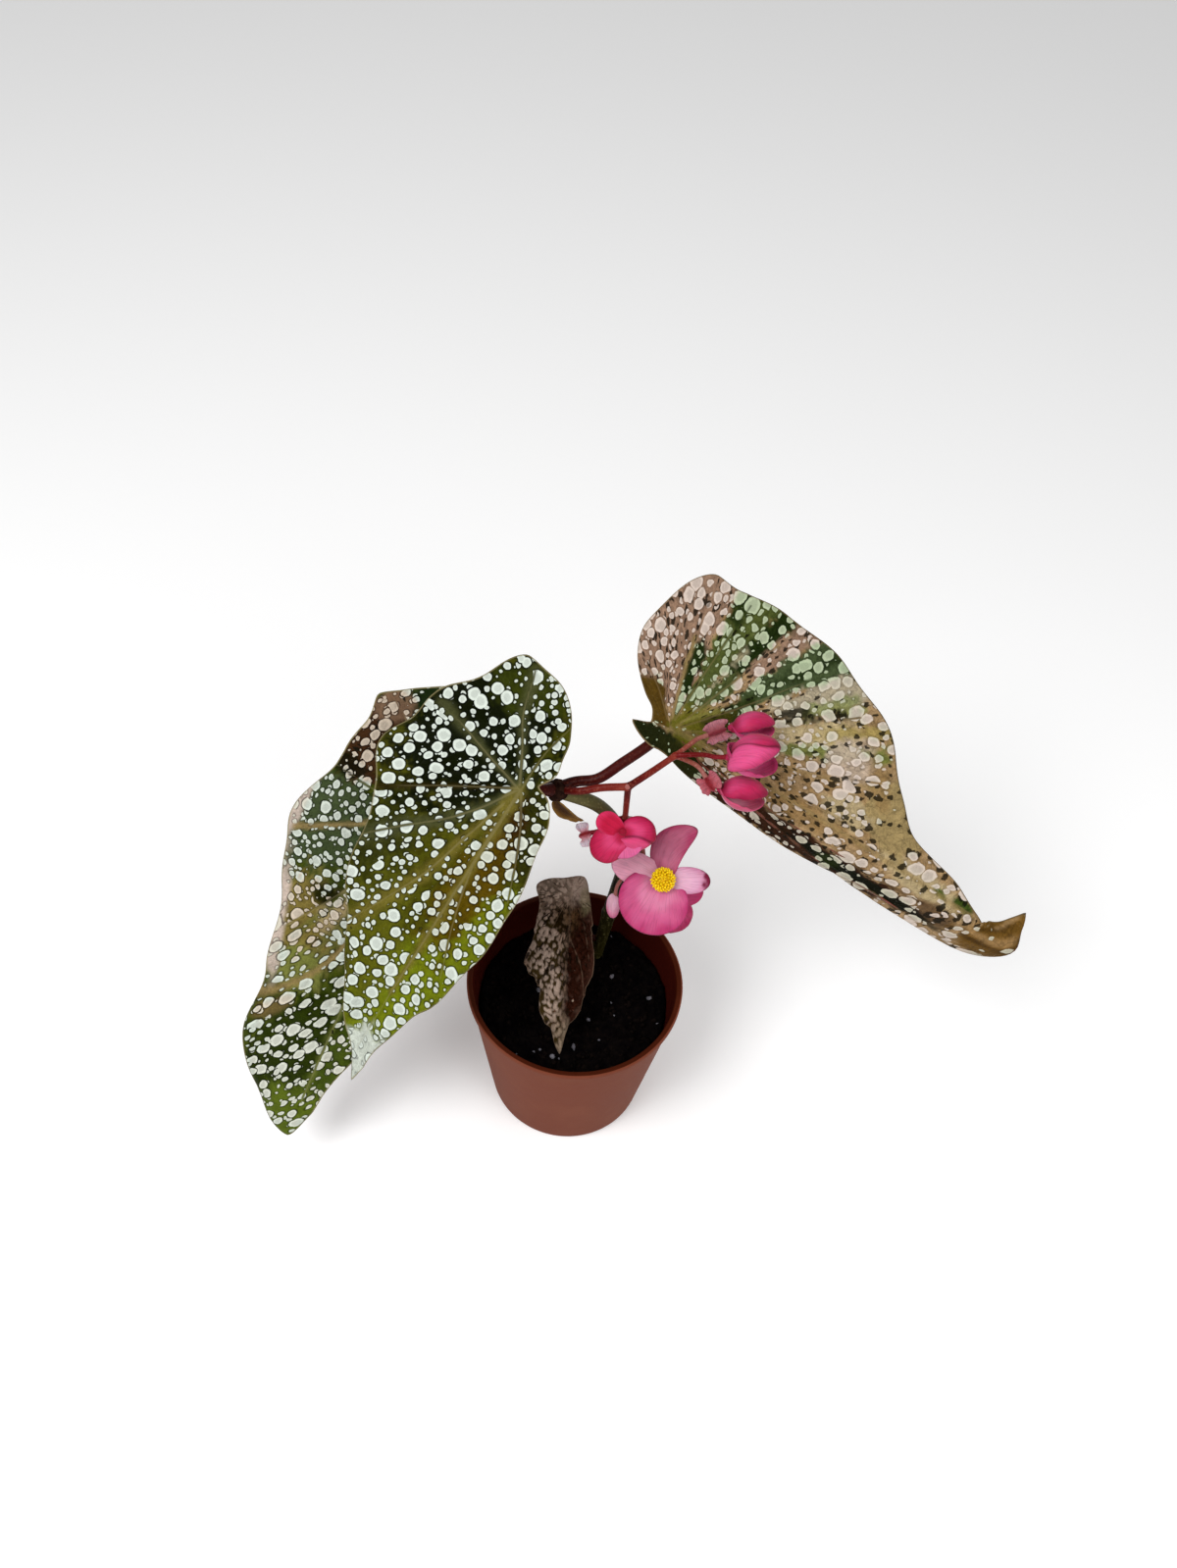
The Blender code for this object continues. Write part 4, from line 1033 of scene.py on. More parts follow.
@dataclass
class Pot:
    """A turned cup of thin plastic with a narrow lip, a foot ring, a flat middle and drain holes."""

    height: float = 65.5
    rim_radius: float = 37.5
    base_radius: float = 28.1
    wall: float = 1.2
    lip_height: float = 2.0
    lip_overhang: float = 0.9
    edge_rounding: float = 0.5
    corner_rounding: float = 1.5
    lip_rounding: float = 0.35
    inner_rounding: float = 0.25
    foot_rounding: float = 0.4
    foot_width: float = 5.0
    channel_height: float = 1.6
    channel_slope: float = 1.0
    disc_radius: float = 14.0
    drain_radius: float = 2.5
    drain_count: int = 6
    drain_sides: int = 28
    drill_heights: tuple[float, ...] = (-3, 0, 4, 7)
    steps: int = 160
    arc_steps: int = 7
    run_step: float = 4.0
    body: PlasticFinish = PlasticFinish("pot body", tone(110, 56, 38), tone(126, 76, 56), 0.62)
    # The lip, which covers the rim top, is a darker copy of the body's plastic: painted shade.
    lip: PlasticFinish = PlasticFinish("pot lip in painted shade", tone(60, 20, 5), tone(84, 36, 18), 0.42, 0.4)
    # The inside is a darker copy of the body's plastic: painted shade of the deep inner wall.
    inside: PlasticFinish = PlasticFinish("pot inside in painted shade", tone(60, 16, 9), tone(84, 34, 22), 0.35, 0.4)

    def outer_radius(self, height: float) -> float:
        """Returns the outer radius below the lip, straight from base to rim."""
        top = self.rim_radius - self.lip_overhang
        return self.base_radius + (top - self.base_radius) * height / self.height

    def inner_radius(self, height: float) -> float:
        """Returns the radius of the wall's inner face."""
        return self.outer_radius(height) - self.wall

    def corners(self) -> tuple[tuple[float, float, float, int], ...]:
        """Lists each corner's radius, height, rounding and material number, from inside to underside."""
        # Lip and inside pick darker copies of the body's plastic: painted shade on rim top and inner wall.
        body, lip, inside = range(3)
        floor, under = self.channel_height + self.wall, self.height - self.lip_height
        foot, small = self.base_radius - self.foot_width, self.foot_rounding
        return (
            (0.0, floor, 0.0, inside),
            (self.inner_radius(floor), floor, self.corner_rounding, inside),
            (self.inner_radius(self.height), self.height, self.edge_rounding, lip),
            (self.rim_radius, self.height, self.edge_rounding, body),
            (self.rim_radius, under, self.lip_rounding, body),
            (self.rim_radius - self.lip_overhang, under, self.inner_rounding, body),
            (self.base_radius, 0.0, self.corner_rounding, body),
            (foot, 0.0, small, body),
            (foot - self.channel_slope, self.channel_height, small, body),
            (self.disc_radius + self.channel_slope, self.channel_height, small, body),
            (self.disc_radius, 0.0, small, body),
            (0.0, 0.0, 0.0, body),
        )

    def profile(self) -> tuple[Array, Array]:
        """Draws half the section: straight runs between corners rounded by arcs of their own radius.

        Returns:
            Rows of a radius and a height, and the material number of each.
        """
        corners = self.corners()
        spots = np.array([corner[:2] for corner in corners])
        rows, kinds = [spots[:1]], [[corners[0][3]]]
        turn = np.linspace(0, 1, self.arc_steps)[:, None]
        for index in range(1, len(corners) - 1):
            reach = corners[index][2]
            start, end = (spots[index] + unit(spots[index + way] - spots[index]) * reach for way in (-1, 1))
            arc = (1 - turn) ** 2 * start + 2 * turn * (1 - turn) * spots[index] + turn**2 * end
            count = 2 + int(np.linalg.norm(rows[-1][-1] - start) / self.run_step)
            run = np.linspace(rows[-1][-1], start, count)[1:-1]
            rows += [run, arc]
            kinds += [[corners[index - 1][3]] * len(run), [corners[index][3]] * len(arc)]
        return np.vstack([*rows, spots[-1:]]), np.concatenate([*kinds, [corners[-1][3]]])

    def drilled(self, pot: bpy.types.Object) -> None:
        """Cuts the drain holes through the channel with round cutters that are removed afterwards."""
        middle = (self.disc_radius + self.base_radius - self.foot_width) / 2
        route = np.array([(0, 0, height) for height in self.drill_heights], float)
        pin = tube(route, np.full(len(route), self.drain_radius), self.drain_sides)
        turns = 2 * np.pi * np.arange(self.drain_count) / self.drain_count
        pins = [pin.placed((middle * math.cos(turn), middle * math.sin(turn), 0.0)) for turn in turns]
        cutter = Sheet.joined(pins).to_object("drain_cutters")
        cut = pot.modifiers.new("drains", "BOOLEAN")
        cut.operation, cut.solver, cut.object = "DIFFERENCE", "EXACT", cutter
        bpy.context.view_layer.update()
        drilled = bpy.data.meshes.new_from_object(pot.evaluated_get(bpy.context.evaluated_depsgraph_get()))
        pot.modifiers.remove(cut)
        pot.data = drilled
        bpy.data.objects.remove(cutter, do_unlink=True)

    def build(self) -> None:
        """Builds and dresses the pot."""
        profile, kinds = self.profile()
        made = turned_form(profile, self.steps)
        row = made.values.pop("row")[np.where(made.faces < 0, made.faces[:, :1], made.faces)]
        made.slots = kinds[row.min(axis=1).astype(int)]
        self.drilled(dress(made, "pot_shell", (self.body, self.lip, self.inside), "pot"))


@dataclass
class Soil:
    """The filling of the pot: a lumpy top, straight sides, and crumbs and pale grains that lie on it."""

    pot: Pot
    top: float = 52.0
    lump: float = 0.9
    wall_gap: float = 0.9
    floor_gap: float = 0.3
    foot_inset: float = 1.5
    edge_clearance: float = 1.5
    top_rings: int = 56
    side_rings: int = 6
    steps: int = 150
    seed: int = 5
    crumb_count: int = 420
    crumb_sizes: Pair = (0.35, 1.15)
    grain_count: int = 20
    grain_sizes: Pair = (0.35, 1.0)
    flatness: float = 0.7
    earth: SoilFinish = SoilFinish("potting soil", tone(2, 1, 2), tone(16, 11, 9), 0.85)
    crumb: SoilFinish = SoilFinish("soil crumb", tone(4, 3, 3), tone(26, 18, 15), 0.9)
    grain: SoilFinish = SoilFinish("pale grain", tone(84, 82, 88), tone(146, 144, 152), 0.85)

    def reach(self, height: float) -> float:
        """Returns how far out the filling goes at a height."""
        return self.pot.inner_radius(height) - self.wall_gap

    def surface(self, x: Array, y: Array) -> Array:
        """Height of the top: two products of sines, which the solid has too, and finer noise on them."""
        broad = np.sin(0.31 * x + 1.0) * np.cos(0.37 * y) + 0.6 * np.sin(0.8 * x + 0.5 * y) * np.sin(0.7 * y)
        fine = 0.35 * ripple(x, y, self.seed, 4.5) + 0.22 * ripple(x, y, self.seed + 1, 2.0)
        return self.top + self.lump * broad + fine

    def body(self) -> Sheet:
        """Builds the filling: rings over the top, down the side and in under it."""
        bottom = self.pot.channel_height + self.pot.wall + self.floor_gap
        edge, foot = self.reach(self.top), self.reach(bottom) - self.foot_inset
        across, down = np.linspace(0, edge, self.top_rings), np.linspace(0, 1, self.side_rings)[1:]
        radii = np.concatenate([across, edge + (foot - edge) * down, [0.0]])
        heights = np.concatenate([0 * across, down, [1.0]]) * (bottom - self.top) + self.top
        made = turned_form(np.column_stack([radii, heights]), self.steps)
        raised = made.values.pop("row") < self.top_rings
        made.points[raised, 2] = self.surface(*made.points.T[:2])[raised]
        return made

    def scattered(self, count: int, sizes: Pair, around: int, seed: int, sink: float) -> Sheet:
        """Strews uneven pebbles over the top, clear of the wall.

        Args:
            count: How many.
            sizes: The least and the most of their radius.
            around: Steps round each.
            seed: Which draw.
            sink: How deep each lies, as a share of its radius.

        Returns:
            All of them.
        """
        draw = np.random.default_rng(seed)
        reach = self.reach(self.top) - self.edge_clearance
        grains = []
        for _ in range(count):
            radius, angle = reach * math.sqrt(draw.uniform(0, 1)), draw.uniform(0, 2 * np.pi)
            x, y = radius * math.cos(angle), radius * math.sin(angle)
            half = draw.uniform(*sizes) * draw.uniform(0.6, 1.4, 3)
            made = pebble(half * (1, 1, self.flatness), around, 3)
            made.points *= 1 + 0.18 * draw.standard_normal((len(made.points), 1)).clip(-1.5, 1.5)
            height = float(self.surface(np.array([x]), np.array([y]))[0]) + half[2] * (self.flatness - sink)
            axes = facing(draw.standard_normal(3) * (1, 1, 0.4), (0.01, 0.02, 1))
            grains.append(made.placed((x, y, height), axes))
        return Sheet.joined(grains)

    def build(self) -> None:
        """Builds and dresses the soil with what lies on it."""
        dress(self.body(), "soil_filling", [self.earth], "soil")
        crumbs = self.scattered(self.crumb_count, self.crumb_sizes, 6, self.seed, 0.5)
        dress(crumbs, "soil_crumbs", [self.crumb], None)
        grains = self.scattered(self.grain_count, self.grain_sizes, 8, self.seed + 7, 0.35)
        dress(grains, "soil_pale_grains", [self.grain], None)


# Cane, petioles and stipule


@dataclass(frozen=True)
class Knob:
    """The swollen node at the top of the cane, from which leaves and flowers leave."""

    centre: Point = (-11.0, 13.4, 150.0)
    radius: float = 3.4

    def edge(self, towards: Array | Point, beyond: float) -> Array:
        """Returns the point that lies beyond its surface, on the way to another point."""
        middle = np.array(self.centre)
        return middle + unit(np.asarray(towards, float) - middle) * (self.radius + beyond)

    def shape(self) -> Sheet:
        """Builds it: a ball whose radius waves with a noise, ribbed where leaves left it."""
        made = pebble((1.0, 1.0, 1.0), 40, 24)
        x, y, z = made.points.T
        swell = 1 + 0.05 * ripple(x * 4 + z * 2, y * 4 - z, 3, 4.0) + 0.03 * np.sin(9 * z + 2 * x)
        made.points *= swell[:, None] * self.radius
        return made.placed(self.centre)


def stem(
    route: Iterable[Iterable[float]], radii: Iterable[float], sides: int, spacing: float,
    swollen: Iterable[Point],
) -> Sheet:
    """Builds a stem: a smooth route, with radii that go evenly from knot to knot and swell in places.

    Each swelling adds height exp(-((s - at) / width)^2) to the radius at distance s. The value "grain" holds
    coordinates drawn out along the stem, for streaks.

    Args:
        route: The knots of its centre line.
        radii: The radius at each of them.
        sides: Its sides.
        spacing: The distance between its rings.
        swollen: Swellings as a share of the length, a width and a height in millimetres.

    Returns:
        The closed stem.
    """
    knots = np.array([tuple(point) for point in route], float)
    stations = travelled(knots)
    where = np.linspace(0, stations[-1], max(6, int(stations[-1] / spacing)))
    thick = np.interp(where, stations, list(radii))
    for share, width, height in swollen:
        thick = thick + height * np.exp(-(((where - share * stations[-1]) / width) ** 2))
    made = tube(smooth_route(knots, len(where)), thick, sides)
    x, y, z = made.points.T
    made.values["grain"] = np.column_stack([x * 1.6, y * 1.6, z * 0.16 + made.values["along"] * 0.04])
    return made


@dataclass
class Cane:
    """The green stem from the soil up to its knob."""

    knob: Knob
    route: tuple[Point, ...] = (
        (6.6, 20.6, 38.0), (6.9, 20.1, 52.0), (8.1, 18.5, 66.0), (9.6, 17.8, 82.0), (10.9, 18.2, 95.0),
        (12.3, 19.8, 107.0), (11.4, 20.2, 119.0), (7.4, 18.8, 131.0), (0.8, 16.6, 141.4), (-5.6, 14.7, 146.4),
        (-10.4, 13.6, 149.2),
    )
    radii: tuple[float, ...] = (2.3, 2.3, 2.2, 2.5, 2.2, 2.1, 2.1, 2.1, 2.2, 2.2, 2.2)
    nodes: tuple[Point, ...] = ((0.36, 1.6, 0.35), (0.62, 1.4, 0.25))
    sides: int = 28
    spacing: float = 0.7
    # The near-black middle colour is painted shade where the cane runs behind the flowers; the other colours
    # are its own.
    finish: StemFinish = StemFinish(
        "green cane", tones((52, 46, 8), (16, 14, 8), (92, 86, 52), (130, 124, 80)), 0.42, 0.25, 0.35
    )
    bark: SoilFinish = SoilFinish("cane knob", tone(22, 8, 6), tone(66, 42, 30), 0.6)

    def build(self) -> None:
        """Builds and dresses the cane with its knob."""
        cane = stem(self.route, self.radii, self.sides, self.spacing, self.nodes)
        knob = self.knob.shape().filled(cane)
        knob.slots = knob.slots + 1
        dress(Sheet.joined([cane, knob]), "cane_stem", (self.finish, self.bark), "cane")


@dataclass
class Stipule:
    """A dry pointed scale that hangs under the knob."""

    knob: Knob
    length: float = 17.0
    width: float = 5.8
    base: float = 1.0
    taper: float = -0.25
    thickness: float = 0.5
    crumple: float = 0.16
    net: Rings = Rings(64, 24, 2, 1.0)
    bend: Bend = Bend(30, 30, 2.0, 0.05, 0.05, 0, 0.03)
    leaves_by: Point = (-0.02, -0.30, -0.95)
    ahead: Point = (0.50, 0.02, -0.87)
    face: Point = (-0.3, -0.8, 0.3)
    pale: Colour = tone(150, 108, 40)
    deep: Colour = tone(70, 40, 8)
    finish: PetalFinish = PetalFinish("dry stipule", 0.45, 0.6, 0.0)

    def build(self) -> None:
        """Builds and dresses the scale: an egg-shaped blade, paler at its edges and its tip."""
        x, y, share = self.net.egg(self.length, self.width, self.base, self.taper)
        light = np.clip(share**3 + 0.6 * eased(x, 6, 16), 0, 1)
        made = self.net.small(
            self.bend.place(x, y, self.crumple * ripple(x * 0.5, y * 2.2, 8, 3.0) * share),
            share, self.thickness, 8,
            flat=np.column_stack([x, y]) / FLAT_UNIT,
            grain=np.column_stack([x * 0.12, y * 2.4, 0 * x]),
            zone=blend(self.deep, self.pale, light),
        )
        root = np.array(self.knob.centre) + unit(self.leaves_by) * (self.knob.radius + self.base - 0.2)
        placed = made.placed(root, facing(self.ahead, self.face))
        dress(placed, "stipule_scale", [self.finish], "stipule")


# Leaves


@dataclass(frozen=True)
class Margin:
    """Waves and teeth of a leaf's edge: counts round the edge, heights and depths in millimetres.

    The wave is height sin(2 pi waves u + phase) times ((v - start) / (1 - start))^2, and the reach grows by
    depth cos(2 pi teeth u) v^4 over its size, where u is the share of the way round and v that of the reach.
    """

    waves: int
    wave_height: float
    teeth: int
    tooth_depth: float
    phase: float = 0.0


@dataclass(frozen=True)
class Ground:
    """What a mark puts on a leaf: a colour and amounts of spots, dark specks and blush, or None to keep."""

    colour: Colour | None = None
    spots: float | None = None
    specks: float | None = None
    blush: float | None = None

    def channels(self) -> list[float | None]:
        """Lists its six channels."""
        return [*(self.colour or (None,) * 3), self.spots, self.specks, self.blush]

    def over(self, held: Array, mask: Array) -> Array:
        """Mixes this into six channels by a mask: held (1 - mask) + new mask."""
        mixed = held.copy()
        for channel, value in enumerate(self.channels()):
            if value is not None:
                mixed[:, channel] += (value - held[:, channel]) * mask
        return mixed


def hue(red: int, green: int, blue: int, *amounts: float) -> Ground:
    """Makes a ground from a screen colour and as many of its amounts as it changes."""
    return Ground(tone(red, green, blue), *amounts)


@dataclass(frozen=True)
class Patch:
    """A soft ellipse: the mask falls where its elliptical radius, shaken by a noise, passes 1."""

    ground: Ground
    at: Pair
    radii: Pair
    turn: float
    soft: float
    strength: float = 1.0

    def mask(self, x: Array, y: Array) -> Array:
        """Returns how much of it covers each flat point."""
        along, side = leaning(x - self.at[0], y - self.at[1], self.turn)
        seed = int(abs(self.at[0] * 7 + self.at[1])) + 11
        shaken = np.hypot(along / self.radii[0], side / self.radii[1])
        shaken = shaken + 0.15 * ripple(x, y, seed, 9.0) + 0.08 * ripple(x, y, seed + 1, 2.8)
        return self.strength * (1 - eased(shaken, 1 - self.soft, 1 + self.soft))


@dataclass(frozen=True)
class Sector:
    """A fan between two bearings and two reaches from the root, with soft shaken sides."""

    ground: Ground
    bearings: Pair
    reaches: Pair
    soft: float
    strength: float = 1.0
    soft_ends: float = 2.5

    def mask(self, x: Array, y: Array) -> Array:
        """Returns how much of it covers each flat point."""
        size = np.hypot(x, y)
        middle, half = sum(self.bearings) / 2, (self.bearings[1] - self.bearings[0]) / 2
        seed = int(middle) + 200
        shake = 1.5 * ripple(x, y, seed, 9.0) + 1.1 * ripple(x, y, seed + 1, 2.8)
        off = np.abs((np.degrees(np.arctan2(y, x)) - middle + 180) % 360 - 180)
        off = off + shake * np.minimum(1, 26 / np.maximum(size, 1))
        reach = size + 2.0 * ripple(x, y, seed + 100, 7.0)
        starts, ends = (eased(reach, at - self.soft_ends, at + self.soft_ends) for at in self.reaches)
        return self.strength * (1 - eased(off, half - self.soft, half + self.soft)) * starts * (1 - ends)


def off_line(x: Array, y: Array, points: Iterable[Pair]) -> tuple[Array, Array]:
    """Measures how far flat points are from a smooth line through given ones.

    Args:
        x: Distance ahead.
        y: Distance to the left.
        points: The line's knots.

    Returns:
        The distance from the line, and the share of its length that is nearest.
    """
    line = smooth_route(points, 24)
    best, share = np.full_like(x, FAR), np.zeros_like(x)
    for index, (start, end) in enumerate(zip(line[:-1], line[1:])):
        way = end - start
        t = np.clip(((x - start[0]) * way[0] + (y - start[1]) * way[1]) / (way @ way), 0, 1)
        away = np.hypot(x - start[0] - t * way[0], y - start[1] - t * way[1])
        share = np.where(away < best, (index + t) / (len(line) - 1), share)
        best = np.minimum(best, away)
    return best, share


@dataclass(frozen=True)
class Vein:
    """A main vein: its line on the flat blade and its half width at its start and its end."""

    line: tuple[Pair, ...]
    widths: Pair = (0.9, 0.35)

    def measured(self, x: Array, y: Array) -> tuple[Array, Array, Array]:
        """Returns the distance from the line, the share of its length and its half width there."""
        away, share = off_line(x, y, self.line)
        return away, share, self.widths[0] + (self.widths[1] - self.widths[0]) * share


@dataclass(frozen=True)
class SideVeins:
    """Curved veins that leave each main one in pairs, one to the left and one to the right.

    The pairs stand a gap apart, from first times the gap along the main vein to at least stop before its end.
    A side vein leaves at the angle turn, give or take sway, and turns back by the share bow of it at each of
    its steps, which are shares of its reach. The reach falls by the share taper over the main vein.
    """

    gap: float = 9.0
    reach: float = 17.0
    turn: float = 48.0
    sway: float = 7.0
    first: float = 0.7
    stop: float = 3.0
    taper: float = 0.55
    bow: float = 0.22
    steps: tuple[float, ...] = (0.0, 0.35, 0.7, 1.0)
    widths: Pair = (0.5, 0.2)

    def beside(self, mains: Iterable[Vein]) -> list[Vein]:
        """Draws the side veins of some main ones."""
        drawn = []
        for number, main in enumerate(mains):
            line = smooth_route(main.line, 60)
            run = travelled(line)
            for index, start in enumerate(np.arange(self.gap * self.first, run[-1] - self.stop, self.gap)):
                at, on = np.array([np.interp((start, start + 2), run, part) for part in line.T]).T
                way = math.atan2(*(on - at)[::-1])
                turn = math.radians(self.turn + self.sway * math.sin(3.1 * index + number))
                reach = self.reach * (1 - self.taper * start / run[-1])
                for side in (turn, -turn):
                    bow = way + side * (1 - self.bow * np.arange(len(self.steps)))
                    ahead = np.column_stack([np.cos(bow), np.sin(bow)])
                    points = at + ahead * (np.array(self.steps)[:, None] * reach)
                    drawn.append(Vein(tuple(map(tuple, points)), self.widths))
        return drawn


@dataclass(frozen=True)
class Band:
    """A stripe along a line, its half width going from the first to the second of its widths."""

    ground: Ground
    line: tuple[Pair, ...]
    widths: Pair
    strength: float = 1.0

    def mask(self, x: Array, y: Array) -> Array:
        """Returns how much of it covers each flat point: exp(-(distance / width)^3)."""
        away, _, width = Vein(self.line, self.widths).measured(x, y)
        shaken = away / width + 0.12 * ripple(x, y, int(abs(self.line[-1][0])) + 40, 5.0)
        return self.strength * np.exp(-(np.clip(shaken, 0, 9) ** 3))


@dataclass
class Leaf:
    """A leaf's blade with its veins, its relief and its painting.

    The outline is pairs of a bearing from the tip, in degrees to the left, and a reach in millimetres.
    Quilt is how high the flesh stands between veins, quilt_width from how far off them, and heave how high it
    waves besides; all relief fades out over fade_margin of the edge and over fade_root of the root.
    Side_paint is how strongly side veins are painted, and rays how fast the fine lines' coordinates run
    outward and round.

    Spots grow outward as the distance from the root to the power 1 - spread, and are drawn out along the lean
    by stretch. Lumps is the height of small pillows on the flesh, and second the ground that shows in clouds
    over second_share of it.
    """

    name: str
    slot: Slot
    junction: Point
    ahead: Point
    face: Point
    outline: tuple[Pair, ...]
    bend: Bend
    margin: Margin
    ground: Ground
    marks: tuple[Patch | Sector | Band, ...]
    veins: tuple[Vein, ...]
    finish: LeafFinish
    net: Rings = Rings(384, 104)
    thickness: float = 0.6
    quilt: float = 0.5
    quilt_width: float = 3.2
    heave: float = 0.25
    fade_margin: float = 4.0
    fade_root: float = 6.0
    main_groove: float = 0.4
    side_groove: float = 0.18
    main_ridge: float = 0.45
    side_ridge: float = 0.15
    side_paint: float = 0.55
    rays: Pair = (0.4, 34.0)
    branching: SideVeins = SideVeins()
    stretch: float = 1.0
    stretch_from: float = 60.0
    lean: float = 0.0
    spread: float = 0.8
    second: Ground = Ground()
    second_share: float = 0.0
    second_scale: float = 9.0
    lumps: float = 0.0
    lump_shade: Colour = (0.12, 0.1, 0.03)
    frill: float = 0.0
    underside: UndersideFinish = UndersideFinish(
        "leaf underside", *tones((112, 62, 46), (84, 58, 34), (132, 44, 36))
    )

    def midrib(self) -> Vein:
        """Returns the vein along the fold: y = -sway 4 s (1 - s), where s is the share of the length."""
        share = np.linspace(0, 0.97, 9)
        length = min(self.bend.length, self.outline[0][1])
        return Vein(tuple(zip(share * length, -self.bend.sway * 4 * share * (1 - share))), (1.2, 0.3))

    def vein_fields(self, x: Array, y: Array) -> tuple[Array, Array, Array]:
        """Measures the veins.

        Args:
            x: Distance ahead.
            y: Distance to the left.

        Returns:
            The strength of main and of side veins, exp(-(distance / width)^2), and the distance to any vein.
        """
        mains = [self.midrib(), *self.veins]
        fields, nearest = [], np.full_like(x, FAR)
        for group in (mains, self.branching.beside(mains)):
            strength = np.zeros_like(x)
            for vein in group:
                away, share, width = vein.measured(x, y)
                strength = np.maximum(strength, np.exp(-((away / (width + 0.35)) ** 2)))
                nearest = np.minimum(nearest, away + 1.5 * share**4)
            fields.append(strength)
        return fields[0], fields[1], nearest

    def painted(self, x: Array, y: Array) -> Array:
        """Lays the marks over the ground, one after another, and returns six channels a point."""
        held = np.tile(np.array(self.ground.channels(), float), (len(x), 1))
        cloud = ripple(x, y * 1.6, 31, self.second_scale)
        cloud = cloud + 0.5 * ripple(x, y * 1.8, 32, self.second_scale / 3)
        held = self.second.over(held, self.second_share * eased(cloud, -0.1, 0.7))
        for mark in self.marks:
            held = mark.ground.over(held, mark.mask(x, y))
        return held

    def pillows(self, x: Array, y: Array, held: Array) -> Array:
        """Returns small pillows, eased from three noises, and darkens the paint in the dips between them."""
        uneven = 0.5 * ripple(x, y, 9, 8.0, 40) + ripple(x, y, 10, 3.0, 40) + 0.5 * ripple(x, y, 12, 1.9, 40)
        pillows = eased(uneven, -0.35, 0.75)
        shown = np.maximum(pillows, 0.75 * eased(y, -1.0, 1.5) + 0.5 * (1 - eased(x, 2.0, 9.0)))
        held[:, :3] *= blend(self.lump_shade, (1.0, 1.0, 1.0), np.minimum(shown, 1))
        return pillows

    def to_margin(self, flat: Array, edge: Array) -> Array:
        """Returns each flat point's distance to the nearest point of the edge, in runs of a few thousand."""
        runs = np.array_split(flat, max(1, len(flat) // 4000))
        return np.concatenate([np.sqrt(((run[:, None] - edge) ** 2).sum(axis=2).min(axis=1)) for run in runs])

    def spot_grain(self, x: Array, y: Array) -> Array:
        """Returns the coordinates of the spots, drawn out along the lean by stretch past stretch_from."""
        size = (np.maximum(np.hypot(x, y), 1.0) / 40) ** (self.spread - 1)
        along, side = leaning(x * size, y * size, self.lean)
        past = np.clip(along - self.stretch_from, 0, None)
        return np.column_stack([along - past + past / self.stretch, side, 0 * x])

    def build(self) -> None:
        """Builds and dresses the blade."""
        spokes = self.net.spokes
        turn = np.arange(spokes) / spokes
        loop = smooth_loop(polar(self.outline), spokes)[:-1]
        after = np.roll(loop, -1, axis=0)
        if (loop[:, 0] * after[:, 1] - loop[:, 1] * after[:, 0]).sum() < 0:
            loop, turn = loop[::-1], turn[::-1]
        spoke, share = self.net.stations()
        edge, u = loop[spoke], turn[spoke]
        size = np.linalg.norm(edge, axis=1)
        tooth = np.cos(2 * np.pi * self.margin.teeth * u) * self.margin.tooth_depth
        tooth = tooth - self.frill * np.abs(ripple(*edge.T, 41, 6.5)) * eased(edge[:, 0], 3, 12)
        flat = edge * (share * (1 + tooth * share**4 / np.maximum(size, LEAST_REACH)))[:, None]
        x, y = flat.T
        rise = np.clip((share - WAVES_FROM) / (1 - WAVES_FROM), 0, 1) ** 2
        wave = self.margin.wave_height * np.sin(2 * np.pi * self.margin.waves * u + self.margin.phase)
        main, side, nearest = self.vein_fields(x, y)
        held = self.painted(x, y)
        inner = np.clip(size * (1 - share) / self.fade_margin, 0, 1)
        inner = inner * np.clip(size * share / self.fade_root, 0, 1)
        relief = self.quilt * (1 - np.exp(-((nearest / self.quilt_width) ** 1.5)))
        relief = relief + self.heave * ripple(x, y, 21, 14.0)
        relief = relief - self.main_groove * main - self.side_groove * side
        if self.lumps:
            relief = relief + self.lumps * self.pillows(x, y, held)
        values = {
            "flat": flat / FLAT_UNIT,
            "zone": held[:, :3],
            "spots": held[:, 3],
            "specks": held[:, 4],
            "blush": held[:, 5],
            "grain": self.spot_grain(x, y),
            "rays": np.column_stack([self.rays[0] * np.hypot(x, y), self.rays[1] * np.arctan2(y, x), 0 * x]),
            "vein": np.maximum(main, self.side_paint * side),
            "margin": self.to_margin(flat, flat[-spokes:]),
        }
        half = margin_half(self.thickness, share, 12)
        ridge = (self.main_ridge * main + self.side_ridge * side) * np.clip(half / 0.3, 0, 1)
        made = self.net.solid(self.bend.place(x, y, wave * rise + relief * inner), half, values, ridge)
        piece = made.placed(self.junction, facing(self.ahead, self.face))
        dress(piece, f"blade_{self.name}", (self.finish, self.underside), f"leaf_{self.name}")


NIGHT = hue(14, 18, 3, 0.9, 0, 0)
OLIVE = hue(72, 72, 10, 0.8, 0, 0)
BROWN = hue(50, 31, 3, 0.66, 0, 0.4)
GOLDEN = hue(80, 62, 3, 0.66, 0, 0.35)
PALE_BAND = hue(104, 94, 36, 0.3, 0)
GREY_BAND = hue(68, 70, 40, 0.4, 0)
SPRING = hue(104, 114, 14, 0.85, 0, 0)
WHITE_TIP = hue(190, 196, 184, 0.5, 0, 0)
PINK_EDGE = hue(200, 182, 170, 0.5, 0, 0.6)
TAN = hue(156, 128, 92, 0.75, 0.85, 0.95)
BROWNER = hue(128, 100, 60, 0.5, 0.9, 0.95)
CREAM = hue(176, 160, 122, 0.75, 0.5, 0.85)
BLUSH = hue(138, 110, 90, 0.8, 0.8, 1)
BOTTLE = hue(26, 38, 8, 0.95, 0, 0.1)
SLATE = hue(62, 74, 44, 0.95, 0, 0)
LEAFY = hue(96, 104, 44, 0.8, 0.3, 0.15)
BARE_OLIVE = hue(76, 56, 16, 0, 0, 0)
